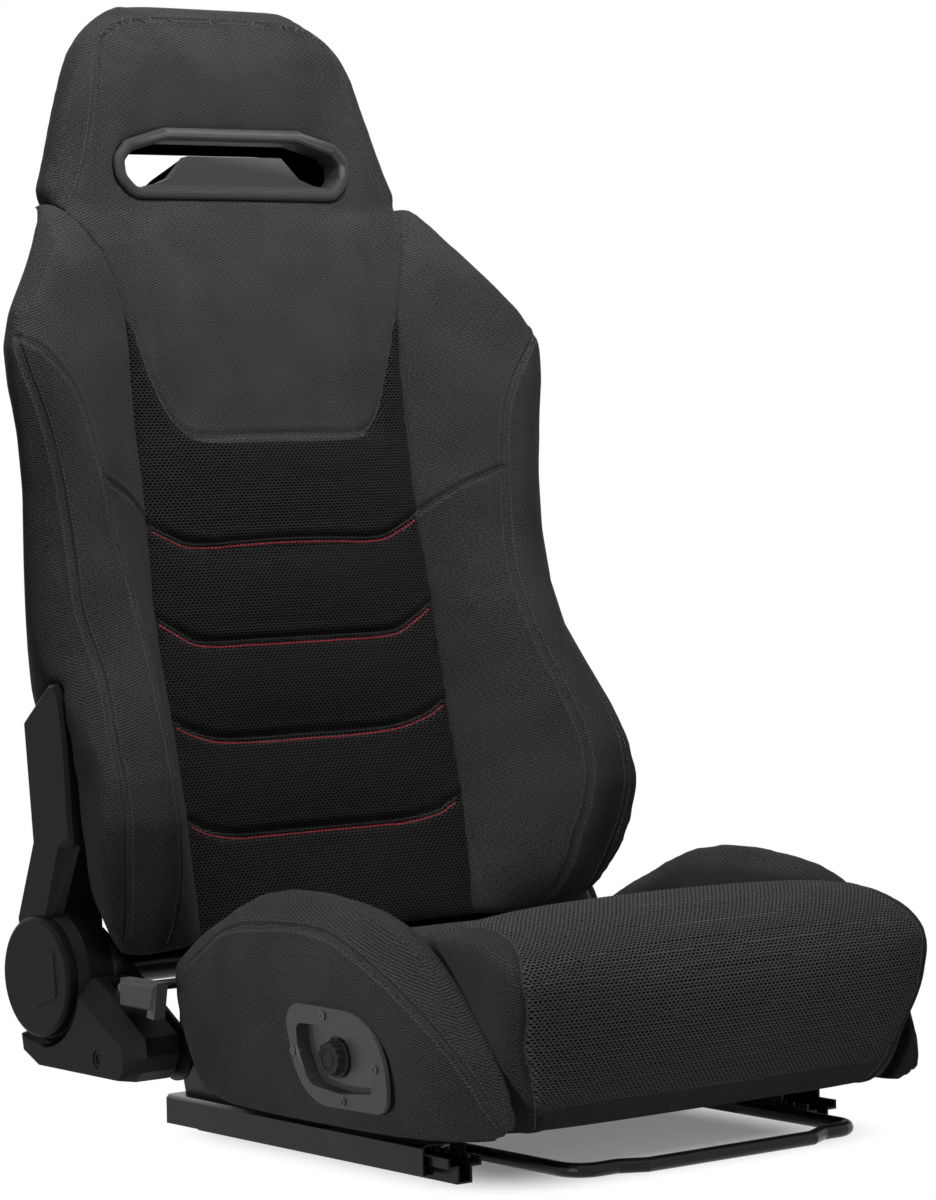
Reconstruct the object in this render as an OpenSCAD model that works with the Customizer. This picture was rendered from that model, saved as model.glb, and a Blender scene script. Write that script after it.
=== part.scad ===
// Reclining racing seat on slide rails.
// Millimetres, +Z up. The seat faces -Y and +X is on the right of someone looking at its front.
// The origin lies on the floor, at the centre of the four bolt holes of the lower rails.

/* [Slide rails] */
// Distance between the centres of the two rails
rail_pitch = 385; // [379:1:391]
// Length of each lower rail
lower_rail_len = 362; // [350:2:372]
// Length of each upper rail
upper_rail_len = 362; // [352:2:372]
// How far the seat stands behind the middle of its travel at rest
seat_rest_y = 26; // [16:1:34]
// Sheet thickness of both rails
rail_wall = 2; // [1.8:0.1:2.2]
// Outside width of each upper rail
rail_w = 44; // [43:0.5:46]
// Height of the upper rail's top face above the floor
rail_top = 30; // [29:0.5:32]
// Distance along the rail between the two floor bolt holes
floor_hole_pitch = 330; // [316:2:332]
// Diameter of the floor bolt holes
floor_hole_d = 8.5; // [8:0.1:9]
// Diameter of the balls between the rails
ball_d = 7; // [6.6:0.1:7.2]

/* [Seat release bar] */
// Diameter of the bar's tube
bar_d = 12; // [10:0.5:13]
// Height of the tube's centre above the floor
bar_z = 15; // [13:0.5:17]
// Distance from the middle of a rail to the bar's side arm beside it
bar_inset = 42.5; // [38.5:1:48.5]
// Place of the bar's front grip along Y
bar_front_y = -282; // [-290:1:-278]

/* [Seat cushion] */
// Half the width of the cushion between its two bolsters
pad_half_w = 214; // [208:1:216]
// Height of the crest over the front edge
pad_crest_z = 220; // [212:1:228]
// Height of the cushion's rear end
pad_rear_z = 158; // [152:1:164]
// Height of the underside of the cushion's foam
pad_underside_z = 105; // [104:1:108]
// Height of the lip that hangs down at the front
lip_z = 46; // [42:1:56]
// Clearance between two neighbouring pieces of foam
soft_gap = 0.5; // [0.4:0.1:1]

/* [Thigh bolsters] */
// Half the width over the outer faces of the bolsters
bolster_half_w = 268; // [264:1:274]
// Height of the top of the bolsters
bolster_top_z = 226; // [222:1:232]
// Height of the lower edge of the bolsters
bolster_low_z = 42; // [38:1:48]

/* [Backrest] */
// Height of the recline pivot above the floor
pivot_z = 132; // [130:1:134]
// Place of the recline pivot along Y
pivot_y = 282; // [280:1:286]
// Greatest half width of the shoulder wings
shoulder_half_w = 292; // [284:1:298]
// Greatest half width of the waist wings
waist_half_w = 297; // [290:1:302]
// Height of the top of the head
head_top_z = 987; // [975:1:1000]
// Thickness of the centre pad
back_pad_t = 40; // [36:1:44]
// Thickness of the rear cover's sheet
rear_cover_t = 4; // [3:0.5:5]
// Depth of the sewn channels
channel_depth = 7; // [4:0.5:9]
// Distance between two sewn channels
channel_pitch = 84; // [80:1:87]
// Diameter of the frame's hoop tube
hoop_d = 22; // [18:0.5:25]

/* [Harness slot] */
// Half the width of the slot's bezel
slot_half_w = 130; // [120:1:134]
// Height of the middle of the slot
slot_z = 840; // [836:1:846]
// Height of the slot's bezel
slot_h = 66; // [60:1:68]
// Width of the bezel's ring
slot_ring = 11.5; // [9:0.5:12]

/* [Recliner] */
// Radius of the round hinge cap
cap_r = 53; // [50:1:54]
// Outer face of the hinge cap, from the seat's middle
cap_x = 298; // [296:1:302]
// Outer face of the arm covers, from the seat's middle
cover_x = 290; // [288:1:292]
// Inner face of the covers, from the seat's middle
cover_in_x = 254.3; // [254.2:0.1:255]
// Wall thickness of the plastic covers
cover_wall = 3; // [2:0.5:4]
// Diameter of the recliner discs
recliner_d = 84; // [76:1:88]

/* [Control knob] */
// Place of the knob along Y
knob_y = -113; // [-116:1:-110]
// Height of the knob's centre
knob_z = 101; // [98:1:104]
// Diameter of the knob
knob_d = 27; // [24:0.5:29]

/* [Hidden] */
$fn = 48;

rail_x = rail_pitch / 2;
bar_half_w = rail_x - bar_inset;
fit = 0.05;                                  // running clearance
plate_t = 3;                                 // steel plate of the frames
fabric = [0.13, 0.13, 0.14];
mesh_fabric = [0.09, 0.09, 0.10];
plastic = [0.20, 0.20, 0.21];
grey_plastic = [0.45, 0.45, 0.46];
black_steel = [0.10, 0.10, 0.11];
bare_steel = [0.62, 0.63, 0.64];

// ---- helpers ---------------------------------------------------------------------------

function clamp01(t) = max(0, min(1, t));
function seg(keys, t, i = 0) = (i >= len(keys) - 2 || t < keys[i + 1][0]) ? i : seg(keys, t, i + 1);
function grad(keys, i) = let(a = keys[max(i - 1, 0)], b = keys[min(i + 1, len(keys) - 1)])
    (b[1] - a[1]) / (b[0] - a[0]);
// Smooth curve through the keys [place, value], where a value may be a point.
function along(keys, t) = let(
    i = seg(keys, t), a = keys[i], b = keys[i + 1], h = b[0] - a[0], u = clamp01((t - a[0]) / h))
    a[1] * (2 * u * u * u - 3 * u * u + 1) + grad(keys, i) * h * (u * u * u - 2 * u * u + u)
    + b[1] * (3 * u * u - 2 * u * u * u) + grad(keys, i + 1) * h * (u * u * u - u * u);
function indexed(pts) = [for (i = [0:len(pts) - 1]) [i, pts[i]]];
// Smooth open path through the points, with n steps between two of them.
function smooth(pts, n) = let(keys = indexed(pts))
    [for (k = [0:(len(pts) - 1) * n]) along(keys, k / n)];
function spread(a, b, n) = [for (i = [0:n]) a + (b - a) * i / n];
// Polygon through corners [a, b, radius], each with an arc of its own radius.
function unit(v) = v / norm(v);
function corner_arc(p, q, s, n) = let(
    c = [q[0], q[1]], u = unit([p[0], p[1]] - c), v = unit([s[0], s[1]] - c), half = acos(u * v) / 2,
    m = c + unit(u + v) * q[2] / sin(half), a = c + u * q[2] / tan(half) - m,
        b = c + v * q[2] / tan(half) - m,
    turn = 180 - 2 * half)
    [for (i = [0:n]) m + (a * sin(turn * (1 - i / n)) + b * sin(turn * i / n)) / sin(turn)];
function rounded(keys, n = 5) = let(k = len(keys))
    [for (i = [0:k - 1]) each corner_arc(keys[(i + k - 1) % k], keys[i], keys[(i + 1) % k], n)];
// Closed outline from its right half and the mirror image of it.
function both_sides(half) = concat(half, [for (i = [len(half) - 1:-1:0]) [-half[i][0], half[i][1]]]);

// Closed solid through rings of equally many points, with flat ends. Rings run anticlockwise
// seen from the last ring, or clockwise where that is said.
module loft(rings, clockwise = false) {
    n = len(rings[0]);
    m = len(rings);
    points = [for (r = rings) each clockwise ? [for (i = [n - 1:-1:0]) r[i]] : r];
    sides = [for (j = [0:m - 2], i = [0:n - 1]) let(
        a = j * n + i, b = j * n + (i + 1) % n, c = b + n, d = a + n) each [[a, b, c], [a, c, d]]];
    low = [for (i = [n - 1:-1:0]) i];
    high = [for (i = [0:n - 1]) (m - 1) * n + i];
    polyhedron(points, [each sides, low, high], convexity = 8);
}
module mirrored(side) { mirror([side < 0 ? 1 : 0, 0, 0]) children(); }
// Plate in the YZ plane, from x0 to x1.
module yz_plate(x0, x1) { translate([x0, 0, 0]) rotate([90, 0, 90]) linear_extrude(x1 - x0) children(); }
// Profile in the XZ plane, swept from y0 to y1.
module xz_bar(y0, y1) { translate([0, y1, 0]) rotate([90, 0, 0]) linear_extrude(y1 - y0) children(); }
module x_rod(x0, x1, y, z, d) { translate([x0, y, z]) rotate([0, 90, 0]) cylinder(h = x1 - x0, d = d); }

// ---- slide rails -----------------------------------------------------------------------

upper_y0 = seat_rest_y - upper_rail_len / 2;
upper_y1 = seat_rest_y + upper_rail_len / 2;
trough_half = 7.5;                           // half width of the lower rail's trough
shelf_z = 13;
lip_half = 17;
lip_top = rail_top - rail_wall - ball_d - 2 * fit;
hook_z = 5;
hook_half = 11.5;
tooth_pitch = 10;
tooth_y0 = -lower_rail_len / 2 + 12;

module lower_profile() {
    polygon(both_sides([[trough_half, 0], [trough_half, shelf_z], [lip_half, shelf_z], [lip_half, lip_top],
        [lip_half - rail_wall, lip_top], [lip_half - rail_wall, shelf_z + rail_wall],
        [trough_half - rail_wall, shelf_z + rail_wall], [trough_half - rail_wall, rail_wall]]));
}
module lower_rail(side) {
    color(black_steel) mirrored(side) translate([rail_x, 0, 0]) difference() {
        xz_bar(-lower_rail_len / 2, lower_rail_len / 2) lower_profile();
        for (y = [-1, 1] * floor_hole_pitch / 2)
            translate([0, y, -1]) cylinder(h = rail_wall + 2, d = floor_hole_d);
        // Latch notches along the inner lip
        for (k = [0:13]) translate([-lip_half - 1, tooth_y0 + k * tooth_pitch, shelf_z + 4])
            cube([rail_wall + 2, tooth_pitch / 2, lip_top]);
    }
}

upper_half = rail_w / 2;
module upper_profile() {
    r = 3;
    w = rail_wall;
    polygon(both_sides([[upper_half - r, rail_top], [upper_half, rail_top - r], [upper_half, hook_z],
        [hook_half, hook_z], [hook_half, hook_z + 4.5], [hook_half + w, hook_z + 4.5],
            [hook_half + w, hook_z + w],
        [upper_half - w, hook_z + w], [upper_half - w, rail_top - r], [upper_half - r, rail_top - w]]));
}
frame_hole_d = 8.5;
frame_hole_y = [upper_y0 + 30, upper_y1 - 30];
frame_hole_x = rail_x - 8;                   // the frame's bolts stand inside the balls
latch_y0 = -132;
latch_y1 = -92;
module upper_rail(side) {
    color(black_steel) mirrored(side) translate([rail_x, 0, 0]) difference() {
        xz_bar(upper_y0, upper_y1) upper_profile();
        for (y = frame_hole_y) translate([frame_hole_x - rail_x, y, rail_top - rail_wall - 1])
            cylinder(h = rail_wall + 2, d = frame_hole_d);
        // Window for the latch teeth
        translate([-upper_half - 1, latch_y0 - 4, shelf_z])
            cube([rail_wall + 2, latch_y1 - latch_y0 + 8, rail_top - 3 - shelf_z]);
    }
}

cage_len = 110;
ball_z = lip_top + fit + ball_d / 2;
ball_off = lip_half - rail_wall / 2;
module ball_cage(side) {
    color(bare_steel) mirrored(side) translate([rail_x, seat_rest_y / 2, 0]) {
        for (s = [-1, 1], end = [-1, 1]) translate([s * ball_off, end * cage_len * 0.8, ball_z]) {
            for (k = [-1:1]) translate([0, k * 18, 0]) sphere(d = ball_d, $fn = 24);
            translate([-2.5, -24, -0.5]) cube([5, 48, 1]);
        }
        for (s = [-1, 1]) translate([s * (ball_off - 4) - 1.5, -cage_len * 0.8 - 24, ball_z - 0.5])
            cube([3, cage_len * 1.6 + 48, 1]);
    }
}

// ---- release bar -----------------------------------------------------------------------

bar_pivot_y = -62;
bar_jog_x = 132;
bar_jog_y = 12;
bar_bend_r = 22;
latch_lever_x0 = bar_half_w - 1.5;
latch_plate_x = rail_x - upper_half - 3.6;
bar_pin_d = 6;
// Tube along a flat path: a ring at each point, mitred where the path turns
function turn_ring(path, i, r, sides) =
    let(n = len(path), a = unit(path[max(i, 1)] - path[max(i, 1) - 1]),
        b = unit(path[min(i, n - 2) + 1] - path[min(i, n - 2)]), t = unit(a + b),
        across = [-t[1], t[0]], stretch = r / (across * [-a[1], a[0]]))
    [for (k = [0:sides - 1]) let(turn = 360 * k / sides, p = path[i] + across * stretch * cos(turn))
        [p[0], p[1], bar_z + r * sin(turn)]];
module tube_path(path, d, sides = 16) {
    n = len(path);
    polyhedron(
        points = [for (i = [0:n - 1]) each turn_ring(path, i, d / 2, sides)],
        faces = concat(
            [[for (k = [0:sides - 1]) k]],
            [for (i = [0:n - 2], k = [0:sides - 1]) let(a = i * sides + k, b = i * sides + (k + 1) % sides)
                [a, a + sides, b + sides, b]],
            [[for (k = [0:sides - 1]) n * sides - 1 - k]]));
}
module release_bar() {
    centre = [bar_half_w - bar_bend_r, bar_front_y + bar_jog_y + bar_bend_r];
    half_path = concat(
        [[bar_jog_x - 44, bar_front_y], [bar_jog_x - 22, bar_front_y + bar_jog_y]],
        [for (a = [0:15:90]) centre + bar_bend_r * [sin(a), -cos(a)]],
        [[bar_half_w, latch_y0 + 6]]);
    far = len(half_path) - 1;
    color(black_steel) {
        tube_path(concat([for (i = [0:far]) let(p = half_path[far - i]) [-p[0], p[1]]], half_path), bar_d);
        for (side = [-1, 1]) mirrored(side) {
            // Latch lever: flat arm from the tube to the pivot, and the toothed plate
            difference() {
                union() {
                    yz_plate(latch_lever_x0, latch_lever_x0 + 3) latch_arm();
                    translate([latch_lever_x0, latch_y0 + 4, bar_z + 2])
                        cube([latch_plate_x - latch_lever_x0, latch_y1 - latch_y0 - 8, 3]);
                    for (k = [0:3]) translate([latch_plate_x, latch_y0 + 5 + k * 8.5, bar_z + 2])
                        cube([4.6, 4, 3]);
                }
                x_rod(latch_lever_x0 - 1, latch_lever_x0 + 4, bar_pivot_y, bar_z, bar_pin_d + 2 * fit);
            }
        }
    }
}
module latch_arm() {
    translate([bar_pivot_y, bar_z]) circle(r = 7);
    translate([latch_y0, bar_z - 5]) square([bar_pivot_y - latch_y0, 10]);
}
module latch_brackets() {
    color(black_steel) for (side = [-1, 1]) mirrored(side) {
        x1 = rail_x - upper_half - fit;
        yz_plate(x1 - 2.5, x1) {
            translate([bar_pivot_y, bar_z]) circle(r = 8);
            translate([bar_pivot_y - 8, bar_z]) square([16, rail_top - bar_z - 4]);
        }
        x_rod(latch_lever_x0 - 2, x1 - 2, bar_pivot_y, bar_z, bar_pin_d);
        x_rod(latch_lever_x0 - 4, latch_lever_x0 - 0.3, bar_pivot_y, bar_z, bar_pin_d + 5);
        x_rod(latch_lever_x0 + 3.3, x1 - 2, bar_pivot_y, bar_z, bar_pin_d + 4);
    }
}

// ---- seat frame ------------------------------------------------------------------------

frame_x = 197;                               // inner face of the side frames
frame_top = pad_underside_z - 1;
rear_tube_y = 156;
rear_tube_z = 74;
cross_d = 28;
front_tube_y = -150;
front_tube_z = 84;
frame_y0 = -176;
frame_y1 = 206;
foot_y0 = -150;
lever_y = 192;
lever_z = 127;
rod_d = 9;
module side_frame(side) {
    color(black_steel) mirrored(side) difference() {
        union() {
            yz_plate(frame_x, frame_x + plate_t) difference() {
                polygon([[foot_y0, rail_top], [frame_y0, rail_top + 26], [frame_y0, frame_top - 14],
                    [frame_y0 + 16, frame_top], [60, frame_top], [lever_y - 26, frame_top - 6],
                    [lever_y - 13, lever_z + 8], [lever_y - 5, lever_z + 13], [lever_y + 5, lever_z + 13],
                    [lever_y + 12, lever_z + 8], [frame_y1, rail_top + 30], [frame_y1 - 8, rail_top]]);
                for (y = [-92, -20, 52]) hull() for (dy = [-14, 14])
                    translate([y + dy, 68]) circle(r = 13);
            }
            // Foot flange on the upper rail
            translate([rail_x - 18, foot_y0, rail_top])
                cube([frame_x - rail_x + 18, frame_y1 - 8 - foot_y0, plate_t]);
        }
        x_rod(frame_x - 1, frame_x + plate_t + 1, rear_tube_y, rear_tube_z, cross_d);
        x_rod(frame_x - 1, frame_x + plate_t + 1, front_tube_y, front_tube_z, cross_d);
        x_rod(frame_x - 1, frame_x + plate_t + 1, lever_y, lever_z, rod_d + 2 * fit);
        for (y = frame_hole_y) translate([frame_hole_x, y, rail_top - 1])
            cylinder(h = plate_t + 2, d = frame_hole_d);
    }
}
module front_cross_tube() {
    color(black_steel) x_rod(-frame_x - plate_t, frame_x + plate_t, front_tube_y, front_tube_z, cross_d);
}
rear_tube_x = 236;
module rear_cross_tube() {
    color(black_steel) x_rod(-rear_tube_x, rear_tube_x, rear_tube_y, rear_tube_z, cross_d);
}

// Zigzag springs, each one wire of straight runs and round bends, on the two cross tubes
spring_wire = 3.6;
spring_pitch = 17;
spring_half = 22;
spring_z = front_tube_z + cross_d / 2 + spring_wire / 2;
module zigzag(count) {
    y0 = front_tube_y;
    for (k = [0:count]) translate([-spring_half, y0 + k * spring_pitch, spring_z]) rotate([0, 90, 0])
        cylinder(h = 2 * spring_half, d = spring_wire, $fn = 14);
    for (k = [0:count - 1]) translate([(k % 2 == 0 ? 1 : -1) * spring_half, y0 + (k + 0.5) * spring_pitch,
        spring_z])
        rotate([0, 0, k % 2 == 0 ? -90 : 90]) rotate_extrude(angle = 180, $fn = 32)
            translate([spring_pitch / 2, 0]) circle(d = spring_wire, $fn = 14);
}
spring_runs = floor((rear_tube_y - front_tube_y) / spring_pitch);
module cushion_springs() {
    color(bare_steel) for (x = [-1.5:1:1.5]) translate([x * 92, 0, 0]) zigzag(spring_runs);
}
module frame_bolts() {
    color(bare_steel) for (side = [-1, 1], y = frame_hole_y) translate([side * frame_hole_x, y, 0]) {
        translate([0, 0, rail_top + plate_t]) cylinder(h = 1.6, r = 8);
        translate([0, 0, rail_top + plate_t + 1.5]) cylinder(h = 5, r = 6.5, $fn = 6);
        translate([0, 0, rail_top - rail_wall - 1])
            cylinder(h = rail_wall + plate_t + 3, r = frame_hole_d / 2 - 0.25);
    }
}

// ---- seat cushion ----------------------------------------------------------------------

tail_half = 138;                             // half width of the tail that reaches under the back
tail_y = 232;
tail_z = 134;                                // underside of the tail
pad_rear_y = 176;
pad_front_y = -298;
lip_t = 40;
// Upper outline of the cushion in the YZ plane, from the rear to the lip
function pad_top(rear, drop, back, low_back) = let(end_z = pad_rear_z - (rear - pad_rear_y) * 0.24)
    smooth([[rear, end_z - 6 - drop / 3], [rear - 14, end_z - drop / 2], [100, pad_rear_z + 5 - drop / 2],
    [0, 177 - drop], [-110, 198 - drop], [-200, pad_crest_z - 2 - drop], [-250, pad_crest_z - 6 - drop],
    [pad_front_y + 11 + back, 188 - drop / 3], [pad_front_y + 2 + back, 158],
    [pad_front_y + 6 + low_back, 105], [pad_front_y + 14 + low_back, 66],
        [pad_front_y + 28 + low_back, lip_z]], 3);
function pad_ring(x, rear) = let(
    u = abs(x) / pad_half_w, drop = 6 * pow(u, 2) + 13 * pow(u, 8), back = 4 * pow(u, 3) + 8 * pow(u, 12),
    low_back = 4 * pow(u, 3) + 20 * pow(u, 12), t = (rear - pad_rear_y) / (tail_y - pad_rear_y))
    [for (p = concat(pad_top(rear, drop, back, low_back), [[pad_front_y + 28 + lip_t, lip_z + 4],
        [pad_front_y + 40 + lip_t, pad_underside_z + 14], [-184, pad_underside_z], [150, pad_underside_z],
        [160 + 8 * t, pad_underside_z + (tail_z - pad_underside_z) * t],
        [rear - 3, pad_underside_z + 14 + (tail_z - pad_underside_z - 14) * t]])) [x, p[0], p[1]]];
module cushion_pad() {
    wide = [for (u = [1, 0.985, 0.95, 0.87, 0.76]) u * pad_half_w];
    xs = concat([for (x = wide) [-x, pad_rear_y]], [for (x = spread(-tail_half, tail_half, 6)) [x, tail_y]],
        [for (i = [4:-1:0]) [wide[i], pad_rear_y]]);
    color(mesh_fabric) difference() {
        loft([for (s = xs) pad_ring(s[0], s[1])], clockwise = true);
        // Room for the recline rod, and for the control module where the bolsters are narrow
        translate([-pad_half_w, lever_y, lever_z]) rotate([0, 90, 0])
            cylinder(h = 2 * pad_half_w, d = rod_d + 4, $fn = 20);
        module_body(module_gap);
    }
}

// ---- thigh bolsters --------------------------------------------------------------------

bolster_in = pad_half_w + soft_gap;
// Crest, lower edge and outer face along the bolster: [place along Y, value]
bolster_top = [[-279, 69], [-270, 92], [-252, 122], [-220, 161], [-186, 192], [-150, 212], [-100, 222],
    [-40, 226], [15, 221], [60, 205], [102, 180], [134, 160]];
bolster_low = [[-279, 61], [-270, 52], [-255, 45], [-225, 42], [60, 42], [90, 50], [112, 90], [134, 144]];
bolster_out = [[-279, 217.5], [-270, 222], [-258, 228], [-245, 236], [-228, 246], [-205, 256], [-180, 263],
    [-150, 267.5], [-110, 268], [40, 268], [100, 262], [134, 246]];
function bolster_ring(y) = let(
    top = along(bolster_top, y) + bolster_top_z - 226, low = along(bolster_low, y) + bolster_low_z - 42,
    out = along(bolster_out, y) + (bolster_half_w - 268) * clamp01((lever_front_y - 12 - y) / 60),
    w = out - bolster_in, h = top - low,
    r = min(h * 0.3, 30))
    [for (p = concat(smooth([[bolster_in, top - r * 0.5], [bolster_in + w * 0.22, top - 1],
        [bolster_in + w * 0.5, top - 1], [out - w * 0.16, top - r * 0.85], [out - 1, top - r * 1.7],
        [out, low + h * 0.4], [out - 6, low + h * 0.1]], 2),
        [[out - 14, low], [bolster_in, low]])) [p[0], y, p[1]]];
module bolster(side) {
    ys = [134, 124, 110, 90, 60, 25, -15, -55, -95, -130, -160, -188, -212, -232, -248, -261, -271, -279];
    color(fabric) difference() {
        mirrored(side) loft([for (y = ys) bolster_ring(y)]);
        // Pocket behind the control panel
        if (side < 0) yz_plate(-bolster_half_w - 20, module_x0 + module_t + module_gap) offset(delta = 4)
            dish_outline();
        if (side < 0) yz_plate(-bolster_half_w - 20, -bezel_x + bezel_t + soft_gap) offset(delta = 1)
            bezel_outline();
    }
}

// ---- control panel and knob ------------------------------------------------------------

bezel_x = bolster_half_w + 2;                // outer face of the bezel
bezel_t = 4;
dish_depth = 9;
dish_floor = [-80, 85];                      // deepest point of the dish, in Y and Z
module bezel_outline() {
    polygon(rounded([[-44.5, 141, 17], [-182, 140.5, 57], [-183, 63, 15], [-68, 61, 50]], 8));
}
module dish_outline() {
    polygon(rounded([[-63, 125, 6], [-65, 105, 30], [-80, 77, 16], [-125, 73.5, 30], [-163, 78, 5],
        [-168, 106, 20], [-148, 127, 14]], 4));
}
module dish_inner() {
    polygon(rounded([[-75.5, 140, 1], [-76.5, 108, 14], [-88, 84, 14], [-125, 80, 30], [-190, 84, 1],
        [-190, 140, 1]], 4));
}
module control_bezel() {
    color(grey_plastic) difference() {
        union() {
            yz_plate(-bezel_x, -bezel_x + bezel_t) bezel_outline();
            yz_plate(-bezel_x + bezel_t - 1, -bezel_x + dish_depth + 7) offset(delta = 2.5) dish_outline();
        }
        // Dish whose floor rises towards the upper front corner
        intersection() {
            yz_plate(-bezel_x - 1, -bezel_x + dish_depth + 4) dish_outline();
            translate([-bezel_x + dish_depth, dish_floor[0], dish_floor[1]]) rotate([141.5, 0, 0])
                rotate([0, 0, 5.2])
                translate([-40, -200, -200]) cube([40, 400, 400]);
        }
        // Groove along the rear and the lower edge of the dish
        yz_plate(-bezel_x - 1, -bezel_x + dish_depth + 3.5) difference() {
            dish_outline();
            dish_inner();
        }
        x_rod(-bezel_x - 1, -bezel_x + 7, knob_y, knob_z, knob_d + 9);
        x_rod(-bezel_x, -bezel_x + 30, knob_y, knob_z, 8 + 2 * fit);
        for (p = bezel_screw_at) x_rod(-bezel_x - 1, -bezel_x + 30, p[0], p[1], 3.4);
    }
}
bezel_screw_at = [[-100.5, 134], [-59.5, 101.5], [-168.5, 98], [-126, 68]];
module bezel_screws() {
    color(bare_steel) for (p = bezel_screw_at) difference() {
        union() {
            x_rod(-bezel_x - 1.2, -bezel_x - 0.05, p[0], p[1], 7);
            x_rod(-bezel_x - 1, -bezel_x + bezel_t + 0.4, p[0], p[1], 3.2);
        }
        translate([-bezel_x - 2, p[0] - 2, p[1] - 0.5]) cube([1.4, 4, 1]);
        translate([-bezel_x - 2, p[0] - 0.5, p[1] - 2]) cube([1.4, 1, 4]);
    }
}
module_x0 = -bezel_x + dish_depth + 7.2;
module_t = 15;
module_w = 48;
module_h = 32;
module_gap = 3.8;                            // room around it in the foam
// The body behind the bezel, or with room > 0 the pocket for it
module module_body(room = 0) {
    translate([module_x0, knob_y - module_w / 2 - room, knob_z - module_h / 2 - room])
        cube([module_t + room, module_w + 2 * room, module_h + 2 * room]);
}
module control_module() {
    color(plastic) {
        module_body();
        x_rod(module_x0 - 9, module_x0 + 1, knob_y, knob_z, 6);
    }
}
module control_knob() {
    x0 = -bezel_x - 5;
    color(plastic) translate([x0, knob_y, knob_z]) rotate([0, 90, 0]) difference() {
        union() {
            cylinder(h = 9, d = knob_d);
            translate([0, 0, 8]) cylinder(h = 2.6, d = knob_d + 5);
            translate([0, 0, 10]) cylinder(h = 9, d = 8);
        }
        for (a = [0:30:330]) rotate([0, 0, a]) translate([knob_d / 2 + 1, 0, -1])
            cylinder(h = 9, r = 2.2, $fn = 16);
        translate([0, 0, -1]) cylinder(h = 1.8, d = knob_d - 9);
        translate([0, 0, 11]) cylinder(h = 10, d = 6 + 2 * fit);
    }
}

// ---- recliner --------------------------------------------------------------------------

bracket_x = rear_tube_x;
disc_t = 6;
hub_x = bracket_x + plate_t + disc_t;
back_plate_x = hub_x + disc_t;
shaft_d = 14;
module recliner_bracket(side) {
    color(black_steel) mirrored(side) yz_plate(bracket_x, bracket_x + plate_t) difference() {
        hull() {
            translate([rear_tube_y, rear_tube_z]) circle(r = 24);
            translate([pivot_y, pivot_z]) circle(d = recliner_d);
        }
        translate([rear_tube_y, rear_tube_z]) circle(d = cross_d - 12);
        translate([pivot_y, pivot_z]) circle(d = shaft_d + 2 * fit);
        translate([lever_y, lever_z + 1]) circle(d = rod_d + 4);
        translate([(rear_tube_y + pivot_y) / 2 - 8, (rear_tube_z + pivot_z) / 2 - 12]) circle(r = 9);
    }
}
module recliner_disc(side) {
    color(bare_steel) mirrored(side) translate([bracket_x + plate_t, pivot_y, pivot_z]) rotate([0, 90, 0])
        difference() {
            cylinder(h = disc_t - 0.3, d = recliner_d - 4);
            translate([0, 0, -1]) cylinder(h = disc_t + 2, d = shaft_d + 2 * fit);
            translate([0, 0, 3]) difference() {
                cylinder(h = disc_t, d = recliner_d - 14);
                translate([0, 0, -1]) cylinder(h = disc_t + 2, d = 40);
            }
        }
}
// Hub with locking teeth round its edge, which turns with the backrest
module recliner_hub(side) {
    color(bare_steel) mirrored(side) translate([hub_x, pivot_y, pivot_z]) rotate([0, 90, 0]) difference() {
        union() {
            cylinder(h = disc_t - 1, d = recliner_d - 8);
            translate([0, 0, disc_t - 1]) cylinder(h = 1, d = 46);
        }
        for (a = [0:15:345]) rotate([0, 0, a]) translate([recliner_d / 2 - 4, 0, -1])
            cylinder(h = disc_t + 2, r = 2, $fn = 16);
        translate([0, 0, -1]) cylinder(h = disc_t + 2, d = shaft_d);
    }
}
arm_top_z = 386;
module plate_outline() {
    polygon(rounded([[pivot_y - 39, pivot_z - 39, 37], [pivot_y - 36, 240, 30],
        [pivot_y - 24, arm_top_z - 26, 6],
        [pivot_y + 4, arm_top_z - 34, 6], [pivot_y, 240, 30], [pivot_y + 39, pivot_z + 24, 20],
        [pivot_y + 39, pivot_z - 39, 37]]));
}
module back_plate(side) {
    color(black_steel) mirrored(side) yz_plate(back_plate_x, back_plate_x + plate_t) difference() {
        plate_outline();
        translate([pivot_y, pivot_z]) circle(d = shaft_d);
        for (z = [225, 275, 325]) translate([pivot_y - 16, z]) circle(r = 8);
    }
}
arm_bevel = 9;
module arm_upper(corner = [[-51.5, 247]]) {
    polygon(concat([[pivot_y + 11, 245]], [for (c = corner) [pivot_y + c[0], c[1]]], [[pivot_y - 44, 336],
        [pivot_y - 37, arm_top_z - 11], [pivot_y - 30, arm_top_z], [pivot_y - 19, arm_top_z - 1],
        [pivot_y + 7, 363], [pivot_y + 22, 351]]));
}
module arm_lower() {
    polygon([[pivot_y + 38.5, 180], [pivot_y + 34, 152], [pivot_y - 2, 152], [pivot_y - 24, 190],
        [pivot_y - 51.5, 248], [pivot_y + 11, 248]]);
}
housing_r = cap_r + 6;
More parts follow.
